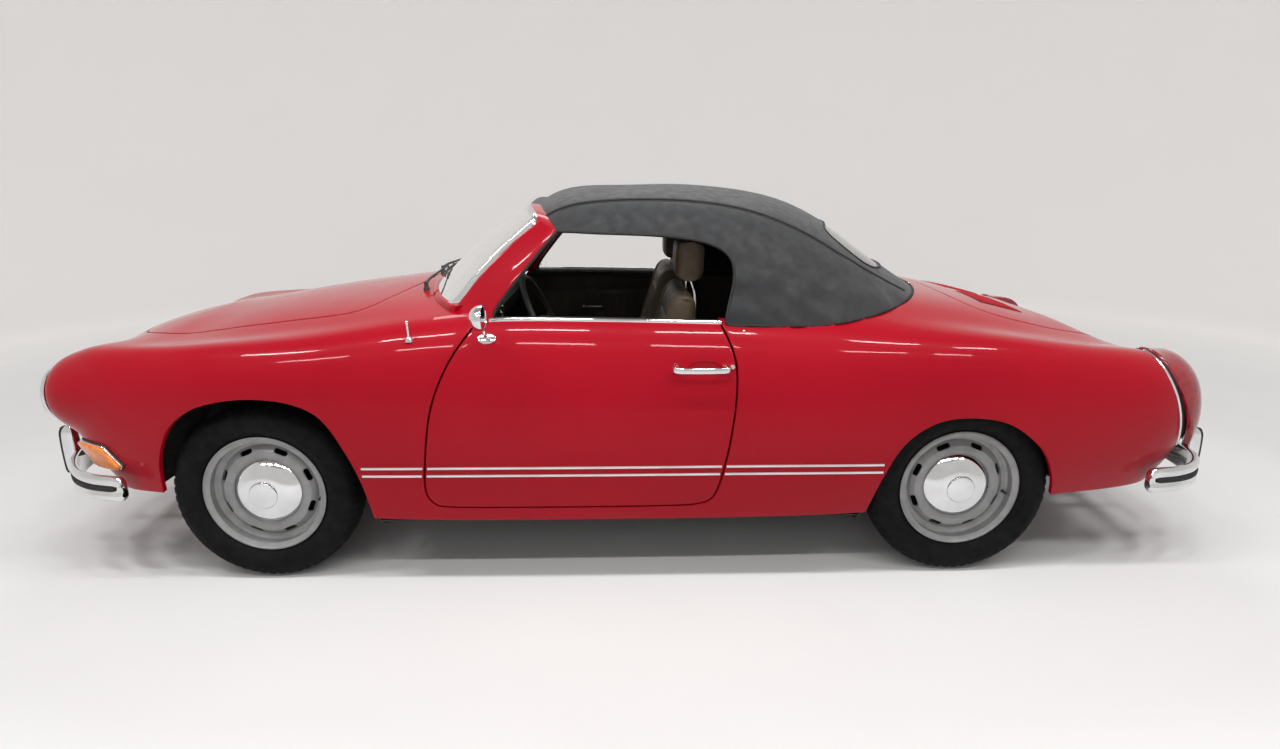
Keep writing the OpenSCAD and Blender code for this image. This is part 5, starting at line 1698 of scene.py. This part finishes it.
def make_antenna():
    foot = pt(-690, 746, 0)
    foot[2] = body_z(foot[0], foot[1])
    base = knob([(0.01, 16), (5, 15), (8, 10), (12, 3), (14, -4), (0.01, -4)], 24)
    mast = tube([foot + [0, 0, 0.008], pt(-690, 751, 880), pt(-690, 755, 917)], 0.0040, 10,
                taper=(1.3, 1.0, 0.9), up=(1, 0, 0))
    tip = tube([pt(-690, 755, 912), pt(-690, 755.3, 919)], 0.0052, 12, up=(1, 0, 0))
    parts = joined(placed(base, Matrix.Translation(foot)), mast, tip)
    mesh_piece("antenna_mast", *sided(parts, LEFT), chrome, "car_body", ["antenna"])


def glass_row(y0, y1, f, lift, count=24):
    """Points along the glass between two places across the car."""
    half = [glass_point(f, k, lift) for k in np.linspace(0, 1, 60)]
    half = np.array(half)
    y = np.linspace(y0, y1, count)
    cols = [np.interp(np.abs(y), half[:, 1], half[:, k]) for k in (0, 2)]
    return np.stack([cols[0], y, cols[1]], 1)


def make_wipers():
    arms, blades = [], []
    for foot, reach in ((-0.330, 0.200), (0.090, 0.200)):
        mid_y = foot + reach
        blade = glass_row(mid_y - 0.185, mid_y + 0.185, 0.13, 10)
        squeegee = glass_row(mid_y - 0.190, mid_y + 0.190, 0.13, 5)
        blades.append(tube(blade, 0.0034, 8))
        blades.append(swept(squeegee, [(-0.0012, -0.003), (0.0012, -0.003), (0.0018, 0.003),
                                       (-0.0018, 0.003)]))
        for k in (4, 12, 19):
            blades.append(tube([blade[k] + [0, -0.010, 0.001], blade[k] + [-0.002, 0, 0.009],
                                blade[k] + [0, 0.010, 0.001]], 0.0024, 8))
        back = 85 * (foot / 0.5) ** 2
        base = pt(-768 + back, foot * 1000, 0)
        base[2] = body_z(base[0], base[1])
        boss = knob([(0.01, 34), (6, 33), (8, 28), (8, 14), (11, 10), (12, -4), (0.01, -4)], 24)
        arms.append(placed(boss, Matrix.Translation(base)))
        end = blade[12] + [-0.002, 0, 0.010]
        knee = base * 0.75 + end * 0.25 + [0, 0, 0.026]
        arms.append(tube(through(np.array([base + [0, 0, 0.026], knee, end]), 6), 0.0045, 10,
                         taper=np.linspace(1.35, 0.75, 13)))
    mesh_piece("wiper_arms", *joined(*arms, *blades), black_trim, "car_body", ["wipers"])


# ---------------------------------------------------------------- cabin

def pillow(path, width, thick, channels=(), bolster=0.0, pull=0.02, rows=72, cols=48, side_y=0.0,
           crown=0.16, faces=(1, 1)):
    """A crowned cushion along a side line of (x, z) points, as a closed form.
    channels are the places along it, from 0 to 1, where a seam draws the cover in;
    bolster raises its long edges, and faces gives the fullness of the front and the back."""
    path = np.array(path, float)
    d = np.concatenate([[0], np.cumsum(np.linalg.norm(np.diff(path, axis=0), axis=1))])
    a = np.sin(np.linspace(-math.pi / 2, math.pi / 2, rows + 1))
    b = np.sin(np.linspace(-math.pi / 2, math.pi / 2, cols + 1))
    s = (a + 1) / 2 * d[-1]
    mid = np.stack([np.interp(s, d, path[:, k]) for k in (0, 1)], 1)
    for _ in range(6):
        mid[1:-1] = (mid[:-2] + 2 * mid[1:-1] + mid[2:]) / 4
    way = unit(np.gradient(mid, axis=0))
    normal = np.stack([-way[:, 1], way[:, 0]], 1)
    aa, bb = np.meshgrid(a, b, indexing="ij")
    fade = np.maximum((1 - np.abs(aa) ** 9) * (1 - np.abs(bb) ** 9), 0) ** 0.36
    dome = 1 + crown * (1 - aa ** 2) * (1 - bb ** 2)
    seam = np.zeros_like(aa)
    for c in channels:
        seam = np.maximum(seam, np.exp(-(((aa + 1) / 2 - c) * d[-1] / 0.0055) ** 2))
    inner = ease((0.74 - np.abs(bb)) / 0.05) * ease((0.95 - np.abs(aa)) / 0.05)
    edge = np.exp(-((np.abs(bb) - 0.75) / 0.018) ** 2) * ease((0.95 - np.abs(aa)) / 0.05)
    puff = bolster * ease((np.abs(bb) - 0.72) / 0.12)
    layers = []
    for sign, full in ((1, faces[0]), (-1, faces[1])):
        off = thick / 2 * fade * dome * full
        if sign > 0:
            off = off - 0.0075 * seam * inner - 0.006 * edge + puff * fade
        x = mid[:, 0][:, None] + normal[:, 0][:, None] * sign * off
        z = mid[:, 1][:, None] + normal[:, 1][:, None] * sign * off
        y = side_y + width / 2 * bb * (1 - pull * (1 - aa ** 2) + 0.5 * pull * (np.abs(aa) > 0.97))
        layers.append(np.stack([x, y, z], -1))
    n, m = aa.shape
    front, back = layers
    points = np.concatenate([front.reshape(-1, 3), back.reshape(-1, 3)])
    k = np.arange(n * m).reshape(n, m)
    quads = np.stack([k[:-1, :-1], k[:-1, 1:], k[1:, 1:], k[1:, :-1]], -1).reshape(-1, 4)
    tris = np.concatenate([quads[:, [0, 1, 2]], quads[:, [0, 2, 3]]])
    tris = np.concatenate([tris, tris[:, ::-1] + n * m])
    return weld(points, tris)


def facing(part):
    """The part with its faces turned outwards."""
    p, f = part
    f = np.array([tuple(k) for k in f])
    a, b, c = (p[f[:, k]] for k in range(3))
    volume = (np.cross(a, b) * c).sum() / 6
    return (p, f) if volume > 0 else (p, f[:, ::-1])


def pad(name, part, replaces=()):
    """A leather pad with its faces turned outwards."""
    obj = mesh_piece(name, *facing(part), seat_tan, "car_body", replaces, sharp=60)


def seam_cord(path, width, side_y, radius=0.004):
    """A piped edge round a cushion, in its middle plane."""
    path = np.array(path, float)
    d = np.concatenate([[0], np.cumsum(np.linalg.norm(np.diff(path, axis=0), axis=1))])
    t = np.linspace(0, 2 * math.pi, 120, endpoint=False)
    a, b = np.cos(t), np.sin(t)
    a, b = np.sign(a) * np.abs(a) ** 0.22, np.sign(b) * np.abs(b) ** 0.22
    s = (a * 0.992 + 1) / 2 * d[-1]
    x, z = (np.interp(s, d, path[:, k]) for k in (0, 1))
    loop = np.stack([x, side_y + b * width / 2 * 0.985, z], 1)
    return tube(softened(loop, 2), radius, 8, closed=True, up=(0.3, 0.1, 0.9))


SEAT_Y = 365
SEAT_CHANNELS = np.arange(0.12, 0.86, 0.095)
BACK_CHANNELS = np.arange(0.16, 0.86, 0.075)


def make_seat(side, end):
    y = SEAT_Y * MM
    base = side_line([(-474, 352), (-440, 374), (-300, 384), (-120, 372), (30, 352)], 6)
    back = side_line([(34, 372), (78, 480), (122, 610), (166, 745), (200, 850), (222, 968)], 6)
    cushion = pillow(base, 0.475, 0.118, SEAT_CHANNELS, 0.010, side_y=y, faces=(1, 0.7))
    rest = pillow(back, 0.470, 0.105, BACK_CHANNELS, 0.012, side_y=y, faces=(1, 0.85))
    pad("seat_cushion_" + end, sided(facing(cushion), side), ["front_seats"])
    pad("seat_back_" + end, sided(facing(rest), side))
    cords = [seam_cord(base, 0.475, y), seam_cord(back, 0.470, y)]
    mesh_piece("seat_piping_" + end, *sided(joined(*cords), side), seat_tan, "car_body")
    head = side_line([(238, 1006), (239, 1040), (240, 1080), (242, 1120), (243, 1144)], 6)
    rest = pillow(head, 0.240, 0.098, crown=0.10, side_y=y, rows=48, cols=40)
    pad("headrest_pad_" + end, sided(facing(rest), side), ["headrests"])
    posts = [sided(tube([pt(228, SEAT_Y + k * 60, 962), pt(231, SEAT_Y + k * 60, 1040)], 0.0050, 12,
                        up=(1, 0, 0)), side) for k in (-1, 1)]
    rails = []
    for k in (-1, 1):
        middle = SEAT_Y + k * 190
        boxes = [(pt(-420, middle - 14, 198), pt(40, middle + 14, 222))]
        boxes += [(pt(x, middle - 9, 215), pt(x + 36, middle + 9, 330)) for x in (-380, -20)]
        rails += [sided(rounded_box(a, b, 0.004), side) for a, b in boxes]
    mesh_piece("headrest_posts_" + end, *joined(*posts), chrome, "car_body")
    mesh_piece("seat_rails_" + end, *joined(*rails), black_trim, "car_body")


def make_rear_bench():
    base = side_line([(446, 372), (520, 385), (640, 382), (760, 372), (815, 368)], 6)
    back = side_line([(846, 412), (880, 520), (912, 640), (944, 790)], 6)
    channels = np.arange(0.2, 0.9, 0.16)
    pad("rear_cushion", pillow(base, 1.03, 0.075, channels, pull=0.008, cols=72), ["rear_seat"])
    pad("rear_backrest", pillow(back, 1.03, 0.085, channels, pull=0.008, cols=72))


CARD_TOP = 0.885
PLEATS_LOW, PLEATS_HIGH = 0.44, 0.80
PLEAT_WIDTH = 0.045


def make_door_card(side, end):
    """The trim panel on the inner face of a door, with pleats."""
    x = np.linspace(-0.70, 0.34, 128)
    z = np.linspace(0.30, 0.93, 60)
    gx, gz = np.meshgrid(x, z, indexing="ij")
    k = np.arange(gx.size).reshape(gx.shape)
    a, b, c, d = k[:-1, :-1], k[:-1, 1:], k[1:, 1:], k[1:, :-1]
    tris = np.concatenate([np.stack([a, b, c], -1).reshape(-1, 3),
                           np.stack([a, c, d], -1).reshape(-1, 3)])

    def place(uv):
        return np.stack([uv[:, 0], np.full(len(uv), CARD_IN), uv[:, 1]], 1)

    def field(p):
        return np.minimum(seen_from_side(p, DOOR_EDGE) - 0.014, CARD_TOP - p[:, 2])
    uv, tris = cut_grid(np.stack([gx.ravel(), gz.ravel()], 1), tris, place, field)
    p, t = weld(place(uv), tris)
    edge = np.clip(field(p) / 0.01, 0, 1)
    pleat = 0.5 - 0.5 * np.cos(p[:, 0] * 2 * math.pi / PLEAT_WIDTH)
    zone = ease((p[:, 2] - PLEATS_LOW) / 0.02) * ease((PLEATS_HIGH - p[:, 2]) / 0.02)
    seam = sum(np.exp(-((p[:, 2] - z) / 0.003) ** 2) for z in (PLEATS_LOW, PLEATS_HIGH))
    p[:, 1] -= ease(edge) * (0.0045 + 0.0028 * zone * pleat ** 0.5 - 0.0030 * seam)
    n = vertex_normals(p, t)
    if n[:, 1].mean() > 0:
        t = t[:, ::-1]
    card = rolled(p, t, 0.0008, 0.002)
    mesh_piece("door_card_" + end, *sided(card, side), card_brown, "door_" + end)


def make_door_capping(side, end):
    """The rounded top of the door's trim, and the armrest."""
    path = softened(np.array([(a, CARD_IN - 0.016, body_z(a, 0.690) - 0.014)
                              for a in np.linspace(-0.500, 0.285, 60)]), 6)
    section = [(0.022, -0.010), (0.023, 0.002), (0.019, 0.010), (0.010, 0.014), (-0.006, 0.014),
               (-0.018, 0.008), (-0.023, -0.002), (-0.020, -0.014), (0.0, -0.018)]
    top = inside_out(swept(path, [(-u, v) for u, v in section]))
    arm = through(np.array([(-0.36, 0.678, 0.640), (-0.33, 0.652, 0.648), (-0.20, 0.640, 0.655),
                            (-0.05, 0.640, 0.655), (0.04, 0.652, 0.648), (0.06, 0.678, 0.640)]), 6)
    rest = tube(arm, 0.016, 14, taper=np.interp(np.linspace(0, 1, len(arm)), [0, 0.15, 0.85, 1],
                                                [0.75, 1, 1, 0.75]))
    mesh_piece("door_capping_" + end, *sided(joined(top, rest), side), black_trim, "door_" + end)


def make_door_winder(side, end):
    """The window crank and the pull handle: each rod is two ends (x, depth, z), a radius and a side."""
    x_way, y_way, z_way = np.eye(3)
    rods = [((-0.44, 0.004, 0.60), (-0.44, 0.030, 0.60), 0.011, 14, x_way),
            ((-0.44, 0.026, 0.60), (-0.40, 0.030, 0.545), 0.006, 12, y_way),
            ((-0.40, 0.026, 0.545), (-0.40, 0.052, 0.545), 0.009, 14, x_way),
            ((-0.24, 0.004, 0.72), (-0.24, 0.022, 0.72), 0.012, 14, x_way),
            ((-0.24, 0.020, 0.72), (-0.15, 0.024, 0.72), 0.006, 12, z_way)]
    crank = [tube([(x, CARD_IN - depth, z) for x, depth, z in ends], radius, count, up=up)
             for *ends, radius, count, up in rods]
    mesh_piece("door_winder_" + end, *sided(joined(*crank), side), chrome, "door_" + end)


def make_steering_wheel():
    at = Matrix.Translation(pt(-296, -365, 832)) @ Matrix.Rotation(math.radians(65), 4, "Y")
    t = round_angles(96)
    lo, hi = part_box("steering_wheel")
    rim_radius = (hi[1] - lo[1]) / 2 - 0.011
    grip = 0.0108 + 0.0006 * np.cos(t * 32)
    loop = np.stack([rim_radius * np.cos(t), rim_radius * np.sin(t), np.full(len(t), 0.010)], 1)
    parts = [tube(loop, 1.0, 14, closed=True, taper=grip)]
    for side in (LEFT, RIGHT):
        spoke = through(np.array([(0, 0.020, -0.004), (0, 0.080, -0.002), (0, 0.140, 0.004),
                                  (0, rim_radius - 0.004, 0.010)]), 6)
        part = swept(spoke, [(-0.013, -0.003), (-0.011, 0.002), (0, 0.004), (0.011, 0.002),
                             (0.013, -0.003), (0, -0.004)], up=(0, 0, 1))
        parts.append(sided(part, side))
    parts.append(knob([(0.01, 18), (20, 17.4), (24, 16), (25, 14), (30, 12.6), (34, 9), (35, 2),
                       (32, -12), (20, -18), (11, -22), (10, -58), (0.01, -58)], 48))
    mesh_piece("steering_wheel_rim", *placed(joined(*parts), at), black_trim, "steering_wheel",
               ["steering_wheel"])


def make_dials():
    """Three round dials on the face of the dash: plain faces in chrome rings."""
    a, b = pt(-508, 0, 840), pt(-520, 0, 780)
    way = unit(np.array([(a - b)[2], 0, -(a - b)[0]]))
    rings, faces, hands = [], [], []
    for y in (-0.43, -0.30, 0.0):
        at = faced((a + b) / 2 + way * 0.0005 + [0, y, 0], way)
        r = 0.033 if y else 0.030
        ring = turned([(r, -0.001), (r + 0.004, -0.001), (r + 0.004, 0.003), (r + 0.002, 0.006),
                       (r, 0.005), (r - 0.0015, 0.002), (r, -0.001)], 48)
        rings.append(placed(inside_out(ring), at))
        face = turned([(0.00001, 0.0018), (r - 0.001, 0.0018), (r - 0.001, -0.001), (0.00001, -0.001)], 48)
        faces.append(placed(inside_out(face), at))
        hand = tube([(0, 0, 0.0026), (r * 0.5, r * 0.55, 0.0026)], 0.0008, 6)
        hands.append(placed(hand, at))
    mesh_piece("dash_dial_rings", *joined(*rings, *hands), chrome, "car_body")
    mesh_piece("dash_dial_faces", *joined(*faces), black_rubber, "car_body")


def make_rear_side_lining():
    """Trim beside the rear seat, from the door to the seat back."""
    for side, end in ((LEFT, "left"), (RIGHT, "right")):
        rows = []
        for x in np.linspace(0.335, 0.86, 30):
            top = min(0.875, body_z(x, 0.655) - 0.030)
            rows.append([(x, 0.652, z) for z in np.linspace(0.40, top, 16)])
        outer = np.array(rows)
        inner = outer - [0, 0.008, 0]
        inner[..., 1] -= 0.003 * np.sin(np.linspace(0, math.pi, 16))[None]
        lining = skin(np.concatenate([inner, outer[:, ::-1]], axis=1))
        mesh_piece("rear_side_lining_" + end, *sided(lining, side), card_brown, "car_body")


# ---------------------------------------------------------------- wheel arches

AXLE_HEIGHT = 315
FLOOR_EDGE = 634
SILL_FOOT = 0.192


def arch_lip(x, radius, inner, side):
    """The outer part of a wheel house, from its pressed drum out to the body skin."""
    rings = []
    for a in np.radians(np.linspace(2, 178, 89)):
        near_end = pt(x + radius * math.cos(a), inner, AXLE_HEIGHT + radius * math.sin(a))
        turn = np.array([math.cos(a), 0, math.sin(a)])
        far_end = near_end + turn * 0.011
        far_end[1] = max(side_point(far_end[0], far_end[2])[1] - 0.0045, inner * MM + 0.004)
        rings.append([near_end - turn * 0.001, far_end - turn * 0.001, far_end + turn * 0.0015,
                      near_end + turn * 0.0015])
    return sided(skin(np.array(rings)), side)


def make_arch_lips():
    parts = []
    for side in (LEFT, RIGHT):
        parts.append(arch_lip(-1235, 387, 684, side))
        parts.append(arch_lip(1165, 351, 710, side))
    mesh_piece("arch_lips", *joined(*parts), floor_black, "car_body")


def sill_floor():
    """The closing panel between the floor's edge and the foot of the body side."""
    rings = []
    for x in np.linspace(-838, 815, 60):
        at = pt(x, FLOOR_EDGE, 0)
        far = side_point(at[0], 0.242)[1] - 0.006
        rings.append([(at[0], at[1], SILL_FOOT), (at[0], far, 0.231), (at[0], far, 0.235),
                      (at[0], at[1], 0.196)])
    return skin(np.array(rings))


def sill_end(x, inner):
    """The upright panel that closes the end of a sill at a wheel arch."""
    rings = []
    for z in np.linspace(0.194, 0.336, 16):
        near, back = pt(x - 3, inner, 0), pt(x + 3, inner, 0)
        far = side_point(near[0], max(z, 0.24))[1] - 0.005 - max(0, 0.24 - z)
        rings.append([(near[0], near[1], z), (back[0], near[1], z), (back[0], far, z), (near[0], far, z)])
    return skin(np.array(rings))


def make_sill_floors():
    wall = rounded_box(pt(-648, FLOOR_EDGE + 1, 194), pt(300, 640.5, 279), 0.0015)
    parts = both(sill_floor()) + both(wall) + both(sill_end(-837, FLOOR_EDGE)) + both(sill_end(815, 545))
    mesh_piece("sill_floors", *joined(*parts), floor_black, "car_body")


# ---------------------------------------------------------------- stage, camera and lights

WALL_GLOW = 0.34
GLOW_START = 3.4
GLOW_FULL = 6.2
FLOOR_RADIUS = 7.0
WALL_BEND = 2.6
WALL_HEIGHT = 9


def make_stage():
    floor = base_material("stage_floor", (0.74, 0.735, 0.73), 0.85)
    mottle(floor, (0.745, 0.74, 0.735), (0.735, 0.73, 0.725), 2)
    lift_wall(floor)
    profile = [(0, 0), (FLOOR_RADIUS, 0)]
    profile += [(FLOOR_RADIUS + WALL_BEND * math.sin(a), WALL_BEND * (1 - math.cos(a)))
                for a in np.linspace(0.1, math.pi / 2, 12)]
    profile += [(FLOOR_RADIUS + WALL_BEND, WALL_HEIGHT)]
    p, f = turned([(max(r, 0.001), z) for r, z in profile], 96)
    mesh = bpy.data.meshes.new("studio")
    mesh.from_pydata(p.tolist(), [], f)
    studio = bpy.data.objects.new("studio", mesh)
    bpy.context.scene.collection.objects.link(studio)
    mesh.materials.append(floor)
    shade(studio)
    studio.visible_shadow = False
    studio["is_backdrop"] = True


def lift_wall(m):
    """The wall and the outer floor show paler than their light makes them, and so do their reflections."""
    bsdf = m.node_tree.nodes["Principled BSDF"]
    bsdf.inputs["Emission Color"].default_value = (1.0, 0.955, 0.92, 1)
    path = add_node(m, "ShaderNodeLightPath")
    far = add_node(m, "ShaderNodeVectorMath", operation="LENGTH")
    link(m, place_of(m), far.inputs["Vector"])
    times = add_node(m, "ShaderNodeMath", operation="MULTIPLY")
    link(m, ramp(m, far.outputs["Value"], GLOW_START, GLOW_FULL, 0.0, WALL_GLOW), times.inputs[0])
    seen = path.outputs["Is Camera Ray"]
    for kind in ("Is Glossy Ray", "Is Transmission Ray"):
        either = add_node(m, "ShaderNodeMath", operation="MAXIMUM")
        link(m, seen, either.inputs[0])
        link(m, path.outputs[kind], either.inputs[1])
        seen = either.outputs["Value"]
    link(m, seen, times.inputs[1])
    link(m, times.outputs["Value"], bsdf.inputs["Emission Strength"])


def make_world():
    world = bpy.data.worlds.new("studio_world")
    bpy.context.scene.world = world
    world.use_nodes = True
    back = world.node_tree.nodes["Background"]
    back.inputs["Color"].default_value = (1.0, 0.99, 0.98, 1)
    back.inputs["Strength"].default_value = 0.33


def area_light(name, at, aim, size, power, colour=(1, 1, 1)):
    data = bpy.data.lights.new(name, "AREA")
    data.shape = "RECTANGLE"
    data.size, data.size_y = size
    data.energy = power
    data.color = colour
    obj = bpy.data.objects.new(name, data)
    bpy.context.scene.collection.objects.link(obj)
    obj.location = at
    obj.rotation_euler = (Vector(aim) - Vector(at)).to_track_quat("-Z", "Y").to_euler()
    return obj


def make_lights():
    for row, (y, power) in enumerate(((-1.5, 27), (-3.4, 17))):
        for k, x in enumerate((-3.2, -1.9, -0.6, 0.7, 2.0, 3.3)):
            area_light(f"tube_{row}_{k}", (x, y, 4.2), (x * 0.8, 0, 0.4), (0.75, 0.16), power)
    area_light("ceiling_back", (0, 2.6, 4.2), (0, 0, 0.6), (4.5, 0.8), 70)
    fill = area_light("front_fill", (-1.0, -6.0, 2.6), (0, 0, 0.6), (5.0, 2.5), 50)
    fill.visible_glossy = False


CAMERA_PLACE = (-0.038, -3.102, 1.374)
CAMERA_TURN = (1.27, 15.12, 0.16)
CAMERA_LENS = 20.88


def make_camera():
    """The camera looks down a little at the left side; its turn is yaw, pitch and roll in degrees."""
    yaw, pitch, roll = (math.radians(a) for a in CAMERA_TURN)
    data = bpy.data.cameras.new("camera")
    data.lens = CAMERA_LENS
    data.sensor_width = 36
    camera = bpy.data.objects.new("camera", data)
    bpy.context.scene.collection.objects.link(camera)
    turn = (Matrix.Rotation(-yaw, 4, "Z") @ Matrix.Rotation(math.pi / 2 - pitch, 4, "X")
            @ Matrix.Rotation(-roll, 4, "Z"))
    camera.matrix_world = Matrix.Translation(CAMERA_PLACE) @ turn
    bpy.context.scene.camera = camera


def write_sizes():
    def plain(box):
        return [[float(c) for c in corner] for corner in box]
    plain(CAD_BOX)
    plain(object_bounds())


# ---------------------------------------------------------------- the car

finish_cad_nodes()
make_body_shell()
make_lid("hood", hood_field, (0, 10, 0, 5))
make_lid("engine_lid", lid_field, (15, 23, 0, 5))
cloth = make_soft_top()
make_top_trim(*cloth)
make_rear_window()
make_roof_bows()
make_snaps()
make_windscreen()
make_windscreen_trim()
make_windscreen_frame()
for corner in CORNERS:
    make_tyre(corner)
    make_hub_cap(corner)
    make_valve(corner)
    make_brake_drum(corner)
make_bumper("front_bumper", FRONT_BLADE, 318, -1, -2055, 500, 312, 500)
make_bumper("rear_bumper", REAR_BLADE, 306, 1, 2135, 560, 300, 470)
make_arch_lips()
make_sill_floors()
make_headlamps()
make_turn_signals()
make_tail_lamps()
make_stripes()
make_belt_strips()
make_badge()
make_nostrils()
make_louvres()
make_antenna()
make_wipers()
make_rear_bench()
make_steering_wheel()
make_dials()
make_rear_side_lining()
for side, end in ((LEFT, "left"), (RIGHT, "right")):
    make_door_skin(side)
    make_door_handle(side, end)
    make_mirror(side, end)
    make_door_card(side, end)
    make_door_capping(side, end)
    make_door_winder(side, end)
    make_seat(side, end)
make_stage()
make_world()
make_lights()
make_camera()
bpy.context.scene.view_settings.view_transform = "Standard"
bpy.context.view_layer.update()
write_sizes()
